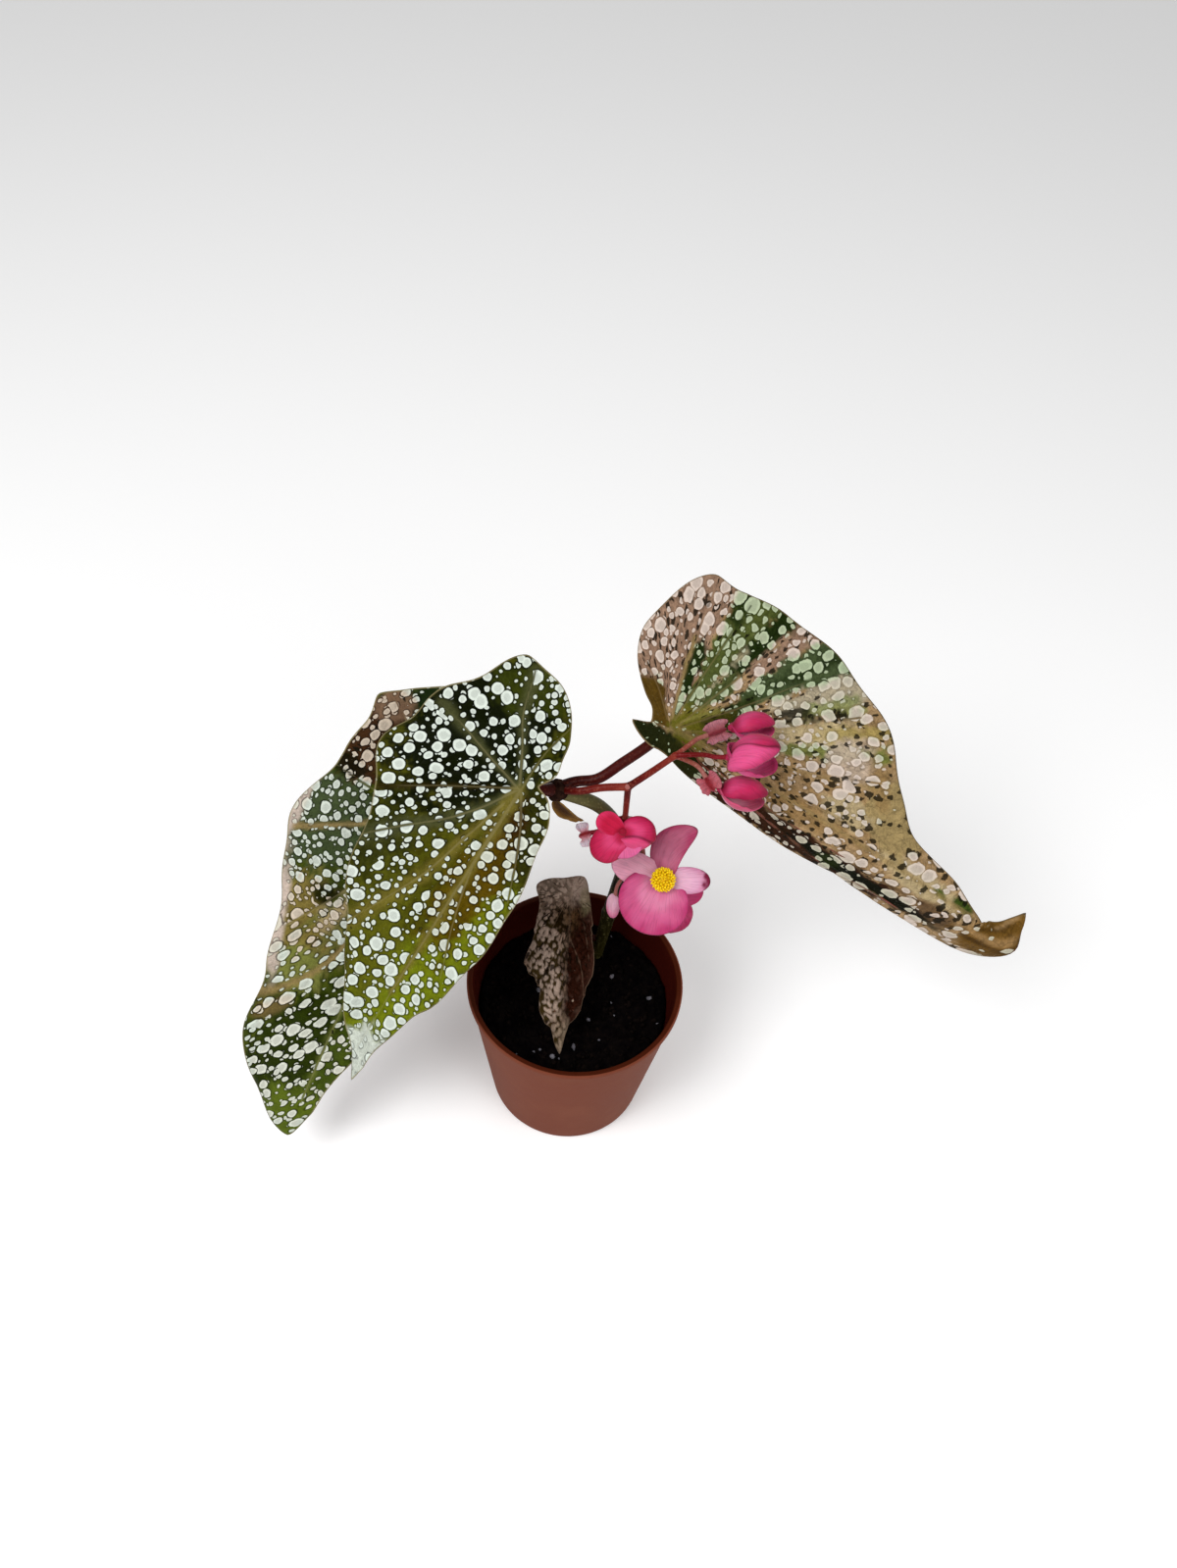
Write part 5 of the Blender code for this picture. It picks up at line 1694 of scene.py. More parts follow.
KHAKI = hue(146, 126, 84, 0.08, 0.3, 0.6)
UMBER = hue(48, 26, 11, 0.8, 0.4, 0.75)
INK = hue(14, 15, 4, 0.6, 0, 0.6)
TAN_VEIN = hue(140, 118, 74, 0.1, 0)
EAR = hue(62, 38, 18, 0.85, 0.3, 0.95)

SILVER_SPOTS = LeafFinish(
    "spotted green leaf", *tones((206, 214, 204), (192, 186, 158), (14, 16, 8), (132, 122, 86)),
    0.42, 4.9, (0.7, 2.1), 2.6, (0.25, 0.9),
)
DUSKY_SPOTS = LeafFinish(
    "spotted shaded leaf", *tones((206, 214, 202), (206, 190, 170), (14, 16, 8), (140, 130, 92)),
    0.42, 4.9, (0.8, 2.1), 2.7, (0.25, 0.95), warp=1.8,
)
PINK_SPOTS = LeafFinish(
    "spotted tan leaf", *tones((168, 182, 148), (202, 186, 174), (16, 14, 6), (126, 106, 74)),
    0.42, 4.4, (0.7, 2.0), 2.5, (0.2, 0.95), 0.35,
    halo=0.25, lines=1.1, threads=0.3, speck_cell=1.55, warp=2.2,
)
TAUPE_LUMPS = LeafFinish(
    "young taupe leaf", *tones((158, 142, 124), (150, 128, 112), (22, 12, 5), (120, 98, 80)),
    0.5, 3.4, (0.5, 1.5), 1.9, (0.2, 0.6), 0.3, 0.2, halo=0.1,
)

FRONT_OUTLINE = (
    (2, 112), (4, 97), (9, 82), (17, 66), (30, 44), (49, 23), (80, 12), (106, 9), (134, 6),
    (144, 11), (157, 14), (168, 21), (177, 26), (-167, 33), (-150, 40), (-131, 36), (-112, 37),
    (-93, 39), (-79, 42), (-58, 41), (-46, 42), (-33, 52), (-24, 58), (-13, 72), (-5, 89), (-1, 103),
)
FRONT_MARKS = (
    Patch(hue(44, 46, 8), (34, -22), (20, 9), 20, 0.4),
    Patch(NIGHT, (-8, -18), (28.5, 25), 0, 0.25),
    Patch(hue(50, 56, 8), (-26, -14), (7, 12), 20, 0.3, 0.8),
    Patch(hue(40, 40, 5, 0.75, 0, 0.3), (10, 10), (16, 6), 30, 0.3, 0.9),
    Patch(BROWN, (18, 6.5), (16, 5), 14, 0.3),
    Patch(GOLDEN, (38, 8), (22, 9), 6, 0.35, 0.9),
    Patch(SPRING, (84, 6), (28, 13), -4, 0.4),
    Patch(SPRING, (50, 18), (22, 5), 2, 0.3, 0.7),
    Patch(hue(84, 84, 16), (62, -9), (24, 8), 18, 0.35, 0.8),
    Band(PALE_BAND, ((2, 0), (20, 3), (40, 4.3), (60, 4.4), (76, 3.5)), (2.2, 1.2), 0.85),
    Band(PALE_BAND, ((6, -1), (22, -3.5), (35, -6), (50, -12), (64, -19)), (1.4, 3), 0.85),
    Band(GREY_BAND, ((1, -1), (10, -5), (20, -12), (28, -20), (38, -29)), (1.3, 3.2), 0.85),
    Band(hue(44, 34, 8, 0.4), ((0, -1), (6, -10), (14, -22), (22, -33)), (0.9, 1.2), 0.7),
    Band(GREY_BAND, ((0, -1), (-3, -12), (-6, -22), (-9, -33)), (1.1, 2.2), 0.85),
    Band(GREY_BAND, ((-1, -1), (-10, -6), (-18, -11), (-31, -15)), (1.1, 2.2), 0.85),
    Band(OLIVE, ((-1, 0), (-12, 0), (-26, 3)), (0.9, 2), 0.6),
    Patch(PALE_BAND, (3, 0), (5, 2.4), 0, 0.5, 0.7),
    Patch(WHITE_TIP, (103, 3), (12, 8), 0, 0.2),
)
FRONT_VEINS = (
    Vein(((6, -1), (22, -3.5), (35, -6), (50, -12), (64, -19))),
    Vein(((1, -1), (10, -5), (20, -12), (28, -20), (38, -29))),
    Vein(((0, -1), (6, -10), (14, -22), (22, -33)), (0.7, 0.3)),
    Vein(((0, -1), (-3, -12), (-6, -22), (-9, -34)), (0.8, 0.3)),
    Vein(((-1, -1), (-10, -6), (-18, -11), (-32, -15.5)), (0.8, 0.3)),
    Vein(((-1, 0), (-12, 0), (-26, 3)), (0.7, 0.3)),
    Vein(((1, 1), (10, 8), (20, 14), (30, 19)), (0.7, 0.3)),
    Vein(((26, 3.4), (45, 9), (62, 15)), (0.7, 0.3)),
)

BACK_OUTLINE = (
    (0, 137), (-3, 135), (-9, 122), (-14, 103), (-16, 88), (-21, 71), (-30, 59), (-45, 50),
    (-56, 46), (-70, 40), (-85, 35), (-111, 35), (-122, 40), (-132, 37), (-157, 37), (180, 28),
    (158, 14), (130, 8), (100, 13), (70, 20), (50, 26), (35, 35), (24, 48), (15, 70), (8, 97),
    (4, 112), (2, 127),
)
BACK_MARKS = (
    Patch(NIGHT, (-18, -8), (20, 18), 0, 0.3),
    Patch(hue(50, 62, 30), (-30, -16), (7, 9), 0, 0.3),
    Patch(hue(36, 46, 4, 0.95, 0, 0.25), (104, -4), (34, 15), -12, 0.22),
    Patch(hue(66, 80, 18, 0.7, 0, 0.4), (104, 7), (22, 5), -8, 0.3, 0.8),
    Patch(hue(84, 98, 24, 0.7), (128, -2), (13, 12), -10, 0.3, 0.9),
    Patch(SLATE, (22, -27), (16, 13), -10, 0.15),
    Patch(EAR, (-9, -28), (16, 9), -4, 0.15),
    Patch(hue(20, 34, 6, 0.5), (-27, -18), (7, 5), 40, 0.2),
    Patch(hue(122, 96, 74, 0.7, 0.2, 1), (-20, -27), (5, 7), 30, 0.2, 0.8),
    Patch(INK, (3, -31), (4, 5), 20, 0.15, 0.85),
    Patch(hue(104, 100, 50), (56, -16), (18, 11), 22, 0.2),
    Patch(hue(118, 104, 50, 0.9, 0, 0.9), (55, -20), (14, 9), 22, 0.2),
    Patch(hue(158, 140, 100, 0.8, 0, 1), (48, -12), (7, 4), 0, 0.25, 0.9),
    # Painted shadow of the front leaf, which hangs just above this one.
    Patch(hue(34, 34, 5, 0.5), (43.5, -16), (3.8, 5.4), 0, 0.4),
    Patch(hue(112, 116, 54, 0.9), (72, -15), (8, 9), -20, 0.2),
    Patch(hue(104, 86, 50, 0.8, 0, 0.9), (89, -18), (8, 2.6), -42, 0.3, 0.8),
    Patch(PINK_EDGE, (60, -27), (20, 3), 14, 0.4, 0.9),
    Patch(PINK_EDGE, (24, -38), (24, 2.5), 6, 0.4, 0.8),
    Band(TAN_VEIN, ((3, -2), (18, -18), (28, -35)), (0.8, 1.2), 0.85),
    Band(TAN_VEIN, ((40, -3), (62, -5), (76, -13), (88, -25)), (0.8, 1.7), 0.85),
    Band(LEAFY, ((2, 0), (40, 3.2), (80, 3.8), (120, 1)), (1.8, 1), 0.7),
    Band(LEAFY, ((4, -1), (40, -10), (62, -20)), (1.2, 1.4), 0.5),
)
BACK_VEINS = (
    Vein(((3, -2), (18, -18), (28, -36))),
    Vein(((4, -1), (30, -7), (46, -15), (62, -25))),
    Vein(((40, -3), (62, -5), (76, -13), (89, -26)), (0.8, 0.3)),
    Vein(((2, -3), (6, -16), (5, -34)), (0.8, 0.3)),
    Vein(((-1, -2), (-12, -14), (-22, -28)), (0.8, 0.3)),
    Vein(((-2, -1), (-20, -5), (-33, -8)), (0.8, 0.3)),
    Vein(((2, 2), (14, 12), (24, 20)), (0.7, 0.3)),
    Vein(((34, 4), (54, 9), (72, 15)), (0.7, 0.3)),
)

RIGHT_OUTLINE = (
    (-4.3, 145), (-2.2, 143), (0, 134), (-0.6, 125), (1, 119), (4, 109), (8, 95), (12, 86),
    (20, 78), (31, 74), (42, 69), (52, 64), (63, 58), (75, 53), (91, 48), (102, 50), (119, 40),
    (134, 32), (143, 24), (153, 14), (162, 8), (-170, 6), (-163, 11.5), (-146, 10), (-110, 8.5),
    (-62, 8.5), (-41, 12.5), (-27, 23), (-18, 36), (-13, 54), (-9, 67), (-6, 86), (-6, 103), (-7, 118),
    (-7.5, 130), (-6, 137), (-4.6, 140.5),
)
RIGHT_MARKS = (
    Sector(BLUSH, (93, 150), (8, 300), 1),
    Sector(hue(72, 80, 36, 0.97, 0.2, 0.1), (76, 92), (6, 300), 1),
    Sector(BOTTLE, (92, 104), (4, 27), 1.5),
    Sector(BOTTLE, (85, 92), (38, 300), 1, 0.9),
    Sector(BOTTLE, (69, 77), (26, 300), 1),
    Sector(hue(70, 78, 40, 0.95, 0.3, 0.1), (62, 76), (12, 27), 1.5),
    Sector(BLUSH, (62, 69), (32, 300), 0.8),
    Sector(hue(150, 142, 112, 0.9, 0.4, 0.5), (74, 77), (14, 36), 1, 0.8),
    Sector(SLATE, (50, 62), (26, 300), 1),
    Sector(BOTTLE, (54, 58), (36, 300), 1, 0.7),
    Sector(hue(40, 50, 18, 0.8, 0.3, 0.1), (38, 56), (18, 30), 2),
    Sector(hue(158, 146, 122, 0.95, 0.3, 0.7), (42, 50), (36, 300), 1),
    Sector(hue(120, 128, 74, 0.95, 0.2, 0.3), (40, 45), (44, 64), 1, 0.8),
    Sector(INK, (38, 40.8), (30, 62), 0.8, 0.95),
    Patch(INK, (30, 28), (6, 1.6), 40, 0.3, 0.9),
    Sector(CREAM, (26, 38), (26, 62), 1.5, 0.8),
    Sector(LEAFY, (26, 30.5), (34, 72), 1, 0.9),
    Sector(hue(150, 132, 72, 0.3, 0.5, 0.6), (32, 36), (50, 74), 1, 0.8),
    Patch(hue(176, 158, 140, 0.9, 0.5, 1), (54, 26), (8, 7), 20, 0.25, 0.8),
    Patch(CREAM, (62, 13), (10, 5), 8, 0.25, 0.7),
    Patch(BROWNER, (46, 5), (18, 4), 8, 0.3, 0.7),
    Patch(CREAM, (96, 4), (18, 4), -10, 0.3, 0.7),
    Patch(KHAKI, (76, 18), (14, 8), -38, 0.2),
    Patch(BROWNER, (66, 25), (9, 3), -42, 0.3, 0.6),
    Patch(hue(56, 72, 22, 0.4), (112, 3), (5, 1.8), -14, 0.3),
    Patch(hue(70, 84, 30, 0.4), (102, 4), (3, 1.2), -14, 0.3),
    Sector(BARE_OLIVE, (128, 190), (-5, 17), 3),
    Patch(hue(96, 92, 26, 0.1, 0.1, 0.2), (6, 5), (9, 6), 45, 0.25),
    Patch(hue(60, 58, 14, 0.1, 0.4, 0.2), (11, 12), (6, 2.4), 48, 0.25),
    Band(hue(40, 38, 10, 0.1), ((4, 2), (9, 4), (16, 5)), (0.5, 0.7), 0.8),
    Band(hue(130, 124, 60, 0.1), ((2, 4), (6, 9), (11, 15)), (0.5, 0.8), 0.7),
    Patch(hue(48, 26, 11, 0.55, 0.4, 0.75), (52, -6), (58, 5.2), -1, 0.12),
    Patch(INK, (78, -6), (30, 2.6), -4, 0.25),
    Patch(hue(30, 38, 10, 0.4, 0, 0.4), (66, -6), (5, 3), 0, 0.3),
    Patch(hue(96, 74, 50, 0.5, 0.5, 1), (107, -4), (9, 4), -16, 0.3),
    Patch(INK, (104, -8), (12, 1.4), -18, 0.3, 0.8),
    Patch(hue(98, 70, 26, 0.15, 0.1, 0.6), (133, -8), (16, 9), -14, 0.2),
    Band(hue(150, 118, 76, 0), ((118, -3), (128, -6), (136, -10)), (1, 2), 0.8),
    Band(hue(58, 38, 12, 0), ((120, -7), (130, -10), (134, -14)), (1.2, 1), 0.8),
    Band(hue(156, 126, 86, 0), ((134, -3), (142, -6), (145, -9)), (0.8, 1), 0.7),
    Band(hue(70, 48, 16, 0), ((124, -2), (132, -3), (140, -6)), (0.8, 0.8), 0.7),
    Patch(hue(26, 30, 8, 0.1, 0, 0), (-3, -5), (12, 4.5), 0, 0.25),
    Patch(hue(34, 36, 10, 0.1, 0, 0), (8, -5), (9, 4), 0, 0.3),
    Band(TAN_VEIN, ((-1, 3), (-4, 14), (-7, 28)), (0.5, 0.9), 0.9),
    Band(TAN_VEIN, ((8, 4), (35, 13), (66, 24)), (0.7, 0.7), 0.5),
    Band(TAN_VEIN, ((2, 2), (30, 5.2), (60, 6.6), (90, 5), (118, 1)), (1, 0.8), 0.6),
    Band(UMBER, ((14, -1.8), (60, -1.2), (100, -1.6)), (1, 0.8), 0.6),
)
RIGHT_VEINS = (
    Vein(((-1, 3), (-4, 14), (-7, 30), (-9, 44)), (0.7, 0.3)),
    Vein(((0, 3), (1, 20), (3, 46)), (0.7, 0.3)),
    Vein(((2, 3), (9, 22), (18, 46)), (0.7, 0.3)),
    Vein(((3, 3), (16, 20), (33, 44)), (0.7, 0.3)),
    Vein(((5, 3), (26, 19), (50, 40)), (0.7, 0.3)),
    Vein(((8, 4), (35, 13), (66, 26)), (0.7, 0.3)),
    Vein(((30, 6), (58, 10), (84, 12)), (0.6, 0.3)),
    Vein(((-2, 2), (-8, 8), (-16, 14)), (0.6, 0.3)),
)

YOUNG_OUTLINE = (
    (0, 54), (3, 46), (11, 37), (24, 25), (45, 11), (88, 7), (149, 7), (-173, 6), (-124, 10),
    (-103, 13), (-75, 13), (-49, 16), (-40, 21), (-33, 29), (-18, 34), (-9, 44), (-3, 50),
)
YOUNG_MARKS = (
    Patch(hue(60, 34, 25, 0, 0.2), (24, 9), (30, 5.5), 0, 0.4),
    Patch(hue(42, 17, 8, 0, 0.2), (22, 3), (26, 4.5), 0, 0.4),
    Patch(hue(158, 138, 124, 0, 0.3), (24, -8), (22, 6), 8, 0.4),
    Patch(hue(176, 156, 140, 0, 0.2), (-2, -3), (6, 9), 0, 0.4, 0.9),
    Patch(hue(140, 132, 98, 0, 0.2), (2, 5), (4, 2), 0, 0.4, 0.5),
    Patch(hue(86, 64, 40, 0, 0.4), (8, -2), (5, 5), 0, 0.5, 0.7),
    Patch(hue(132, 114, 96, 0, 0), (50, 0), (9, 3), 0, 0.3),
)
YOUNG_VEINS = (
    Vein(((1, 1), (10, 5), (22, 8)), (0.5, 0.2)),
    Vein(((1, -1), (12, -6), (24, -13)), (0.5, 0.2)),
    Vein(((0, -1), (3, -7), (4, -13)), (0.5, 0.2)),
    Vein(((14, 0), (24, -6), (33, -10)), (0.5, 0.2)),
    Vein(((14, 0), (24, 5), (34, 7)), (0.5, 0.2)),
)

LEAVES = (
    Leaf(
        "front", Slot.GREEN_LEAF, (-21.5, 5.3, 158.0), (-0.466, -0.619, -0.632), (-0.06, -0.70, 0.71),
        FRONT_OUTLINE, Bend(10, 8, 5.0, -0.004, -0.0045, 0, 0.0035, 0.002, sway=-4.5, length=104),
        Margin(9, 1.5, 15, 0.7), OLIVE, FRONT_MARKS, FRONT_VEINS, SILVER_SPOTS,
        spread=0.95, second=hue(54, 50, 6), second_share=0.7,
    ),
    Leaf(
        "back", Slot.GREEN_LEAF, (-47.5, 18.2, 133.0), (-0.377, -0.653, -0.657), (-0.10, -0.68, 0.72),
        BACK_OUTLINE, Bend(12, 10, 5.0, -0.004, -0.004, 0, 0.0035, 0.002, sway=-4, length=125),
        Margin(10, 1.7, 15, 0.8, 1.0), hue(52, 62, 14, 0.8, 0, 0), BACK_MARKS, BACK_VEINS, DUSKY_SPOTS,
        stretch=2.3, stretch_from=62.0, lean=-24.0, spread=1.22, second=hue(76, 84, 18), second_share=0.6,
    ),
    Leaf(
        "right", Slot.TAN_LEAF, (21.0, 28.3, 166.0), (0.909, -0.278, -0.31), (0.22, -0.62, 0.76),
        RIGHT_OUTLINE,
        Bend(6, -62, 5.0, -0.003, 0.0, 0, 0.0025, 0, -7, 125, 25, -8, 122, 0.09, -8),
        Margin(8, 1.2, 15, 0.6, 2.0), TAN, RIGHT_MARKS, RIGHT_VEINS, PINK_SPOTS,
        quilt=0.35, spread=0.75, second=BROWNER, second_share=0.55, second_scale=8.0,
    ),
    Leaf(
        "young", Slot.TAUPE_LEAF, (-3.9, 15.3, 94.0), (0.017, -0.891, -0.455), (0.0, -0.5, 0.8),
        YOUNG_OUTLINE, Bend(-22, -22, 3.0, -0.012, -0.012, 0, 0.008, 0.01, length=50),
        Margin(9, 0.5, 9, 0.9, 0.5), hue(132, 110, 94, 0, 0.3, 0.6), YOUNG_MARKS, YOUNG_VEINS, TAUPE_LUMPS,
        Rings(288, 90), 0.5, branching=SideVeins(4.6, 9.0), lumps=0.8, frill=0.8,
    ),
)


@dataclass
class Petiole:
    """A leaf's red stalk, from the cane to the underside of its blade."""

    leaf: Leaf
    knob: Knob
    by: tuple[Point, ...]
    radius: float
    run_in: float
    from_knob: bool = True
    sides: int = 24
    spacing: float = 0.7
    finish: StemFinish = StemFinish(
        "red petiole", tones((44, 10, 6), (62, 10, 8), (58, 20, 12), (104, 50, 34)), 0.34, 0.25, 0.3
    )

    def build(self) -> None:
        """Builds and dresses the stalk, a little swollen at both ends."""
        out = facing(self.leaf.ahead, self.leaf.face)[:, 2]
        end = np.array(self.leaf.junction) - out * (0.55 + 0.35 * self.radius)
        route = [*self.by, end - out * self.run_in, end]
        if self.from_knob:
            route = [self.knob.edge(route[0], SUNK), *route]
        swollen = ((0.0, 2.2, 0.3 * self.radius), (1.0, 2.0, 0.12 * self.radius))
        made = stem(route, [self.radius] * len(route), self.sides, self.spacing, swollen)
        dress(made, f"stalk_{self.leaf.name}", [self.finish], f"petiole_{self.leaf.name}")


# Flowers


@dataclass(frozen=True)
class Tepal:
    """A petal-like blade: its bearing in the bloom's face, its lift out of it and its turn about its length.

    It is an egg in outline, which reaches length ahead of its root and base behind it. Its shades go from
    the first at its root through the second to the third at its margin, with the fourth, if any, halfway; the
    last part of the reach is tip, and what lies past its overlap is seam, where those are set.
    """

    bearing: float
    lift: float
    length: float
    width: float
    base: float
    taper: float
    curl: float
    rise: float
    droop: float
    shades: tuple[Colour, ...]
    turn: float = 0.0
    sway: float = 0.0
    tip: Colour | None = None
    seam: Colour | None = None
    thickness: float = 0.5
    lap: float = 0.45
    net: Rings = Rings(72, 26, 2, 0.9)

    def painted(self, x: Array, y: Array, share: Array, over: Array, seed: int) -> Array:
        """Paints the blade.

        Args:
            x: Distance ahead.
            y: Distance to the left.
            share: The share of the reach.
            over: The distance past the overlap.
            seed: Which noise shakes the colours' borders.

        Returns:
            A colour for each point.
        """
        root, colour, edge, pale = (*self.shades, None)[:4]
        shaken = 0.05 * ripple(x, y, seed % 983, 9.0)
        light = (1 - eased(np.abs(share + shaken - 0.4), 0.0, 0.34)) * (pale is not None)
        paint = blend(colour, pale or colour, light)
        paint = blend(paint, root, 1 - eased(np.hypot(x, y) / self.length + shaken, 0.04, 0.34))
        paint = blend(paint, edge, eased(share + shaken, 0.72, 1.02))
        if self.seam:
            paint = blend(paint, self.seam, eased(over, 0.15, 1.2) * (1 - 0.6 * eased(share, 0.75, 1.0)))
            # Painted shade: the colour darkens along the overlap's edge, as in a crease.
            paint = paint * (1 - 0.65 * np.exp(-((over / 0.45) ** 2)))[:, None]
        if self.tip:
            end = eased(x + 0.6 * ripple(x, y, seed % 991, 3.0), self.length * 0.80, self.length * 0.92)
            paint = blend(paint, self.tip, end)
        return paint

    def shape(self) -> Sheet:
        """Builds the blade, set in the bloom's own frame with its root at the heart."""
        x, y, share = self.net.egg(self.length, self.width, self.base, self.taper)
        seed = int(self.bearing * 3 + self.length * 11 + self.turn)
        ruffle = 0.22 * ripple(x, y, seed % 997, 6.5) * share
        ruffle = ruffle + 0.10 * np.cos(y * 2.4) * eased(x, 0, 4) * (1 - share)
        over = -1.4 + 0.9 * np.sin(x * 0.42 - 0.6) - y
        lap = eased(over, 0.0, 0.5) * (1 - eased(share, 0.8, 1.0)) * (self.seam is not None)
        curl, droop = self.curl, self.droop
        bend = Bend(0, 0, 5.0, curl, curl, self.rise, droop, droop, self.sway, self.length)
        made = self.net.small(
            bend.place(x, y, ruffle + self.lap * lap), share, self.thickness, 10,
            flat=np.column_stack([x, y]) / FLAT_UNIT,
            zone=self.painted(x, y, share, over, seed),
            grain=np.column_stack([x * 0.06, np.arctan2(y, x + 6) * 26, np.full_like(x, seed * 0.13)]),
        )
        ahead = heading(math.radians(self.bearing), math.radians(self.lift))
        return made.placed((0, 0, 0), facing(ahead, turned(ahead, self.turn) @ (0.0, 0.0, 1.0)))


def shell_pair(
    reaches: Pair, width: float, gape: float, shades: tuple[tuple[Colour, ...], ...],
    base: float = 1.0, seam: Colour | None = None, lower_bearing: float = 0.0,
) -> tuple[Tepal, ...]:
    """Makes two cupped tepals that close on each other like a shell, hinged at the heart.

    Args:
        reaches: Reach of the upper and of the lower one.
        width: Width of both.
        gape: The angle between them.
        shades: The shades of each.
        base: Their reach behind the hinge.
        seam: The colour of the upper one past its overlap, if it has one.
        lower_bearing: The way of the lower one's tip, in degrees to the left of the upper one's.

    Returns:
        The two tepals.
    """
    rise = 60.0
    upper, lower = (
        (reach, width, base, 0.0, -2.3 / width, rise, 2 * math.radians(rise) / reach, shade)
        for reach, shade in zip(reaches, shades)
    )
    return Tepal(0, gape / 2, *upper, seam=seam), Tepal(lower_bearing, -gape / 2, *lower, turn=180.0)


@dataclass
class Bloom:
    """A flower: its heart, the way its face looks, the way to its right, and its tepals."""

    name: str
    slot: Slot
    heart: Point
    face: Point
    right: Point
    tepals: tuple[Tepal, ...]
    heart_colour: Colour = tone(168, 38, 76)
    heart_radius: float = 1.3
    squash: float = 0.8
    finish: PetalFinish = PetalFinish("deep tepals")

    def axes(self) -> Array:
        """Returns its turn: X to the right, Z out of its face."""
        return facing(self.right, self.face)

    def build(self) -> None:
        """Builds and dresses the tepals with the lump that they join at."""
        sheets = [tepal.shape() for tepal in self.tepals]
        size = self.heart_radius
        heart = pebble((size, size, size * self.squash), 28, 15).filled(sheets[0])
        heart.values["zone"][:] = self.heart_colour
        made = Sheet.joined([*sheets, heart]).placed(self.heart, self.axes())
        dress(made, f"petals_{self.name}", [self.finish], f"{self.name}_bloom_tepals")


@dataclass
class Stamens:
    """The yellow dome of anthers on the open flower: clubs set by the golden angle, leaning outwards."""

    bloom: Bloom
    dome_radius: float = 2.7
    dome_height: float = 4.2
    reach: float = 3.5
    count: int = 84
    club_radius: float = 0.40
    club_length: float = 0.66
    unevenness: float = 0.14
    lean: float = 0.22
    finish: PollenFinish = PollenFinish("pollen", tone(250, 222, 14), tone(222, 176, 2))

    def build(self) -> None:
        """Builds and dresses them."""
        draw = np.random.default_rng(4)
        squash = self.dome_height / 2 / self.dome_radius
        clubs = [pebble((self.dome_radius, self.dome_radius, self.dome_radius * squash), 36, 18)]
        for index in range(self.count):
            share = (index + 0.5) / self.count
            out = heading(index * math.pi * (3 - math.sqrt(5)), math.asin(1 - 1.05 * share))
            long = self.club_length + self.unevenness * draw.uniform(-1, 1)
            club = pebble((self.club_radius, self.club_radius, long), 8, 5)
            lean = unit(out + self.lean * draw.standard_normal(3))
            axes = facing(np.cross(lean, (0.3, 0.9, 0.1)), lean)
            clubs.append(club.placed(out * (1, 1, squash) * self.reach, axes))
        axes = self.bloom.axes()
        at = np.array(self.bloom.heart) + axes[:, 2] * (self.bloom.heart_radius + self.dome_height / 2)
        made = Sheet.joined(clubs).placed(at, axes)
        dress(made, "stamens_open", [self.finish], "open_bloom_stamens")


@dataclass
class Ovary:
    """A spindle with three thin wings, between a pedicel and its tepals."""

    name: str
    start: Point
    end: Point
    flesh: Colour
    wing: Colour
    rib: Colour
    radius: float = 1.3
    wing_reach: float = 4.0
    wing_root: float = 0.5
    wing_share: float = 0.84
    wing_thickness: float = 0.42
    wing_taper: float = 0.45
    wing_angles: tuple[float, ...] = (35, 155, 275)
    net: Rings = Rings(56, 18, 2, 0.9)
    bend: Bend = Bend(curl_left=0.04, curl_right=0.04, droop=0.05)
    viewer: Point = (-0.06, -0.60, 0.80)
    finish: PetalFinish = PetalFinish("winged ovary", 0.45, 0.4, 0.12)

    def spindle(self, length: float) -> Sheet:
        """Builds the body: a ball drawn out along X, ribbed three ways."""
        made = pebble((1.0, 1.0, 1.0), 36, 21)
        x, y, z = made.points.T
        wave = np.cos(3 * np.arctan2(y, z) + 0.6)
        rib = 1 + 0.08 * wave
        made.points = np.column_stack([x * length / 2, y * self.radius * rib, z * self.radius * rib])
        made.values = {
            "flat": made.points[:, :2] / FLAT_UNIT,
            "zone": blend(self.flesh, self.rib, 0.5 + 0.5 * wave),
            "grain": np.column_stack([x * 0.5, y * 5, z * 5]),
        }
        return made

    def wing_blade(self, angle: float, length: float) -> Sheet:
        """Builds a wing: an egg-shaped blade that stands off the spindle at an angle round it."""
        width = length * self.wing_share
        x, y, share = self.net.egg(self.wing_reach, width, self.wing_root, self.wing_taper)
        made = self.net.small(
            self.bend.place(x, y, 0.3 * ripple(x, y, int(angle), 2.4) * share),
            share, self.wing_thickness, 8,
            flat=np.column_stack([x, y]) / FLAT_UNIT,
            zone=blend(self.wing, self.flesh, 1 - eased(x, 0.2, 2.6)),
            grain=np.column_stack([x * 0.3, y * 3, np.full_like(x, angle)]),
        )
        spin = turned((1.0, 0.0, 0.0), angle)
        return made.placed(spin @ (0, self.wing_root, 0), spin @ facing((0, 1, 0), (0, 0, 1)))

    def build(self) -> None:
        """Builds and dresses the ovary."""
        start, end = np.array(self.start), np.array(self.end)
        length = float(np.linalg.norm(end - start))
        sheets = [self.spindle(length), *(self.wing_blade(angle, length) for angle in self.wing_angles)]
        made = Sheet.joined(sheets).placed((start + end) / 2, facing(end - start, self.viewer))
        dress(made, f"ovary_{self.name}", [self.finish], f"{self.name}_bloom_ovary")


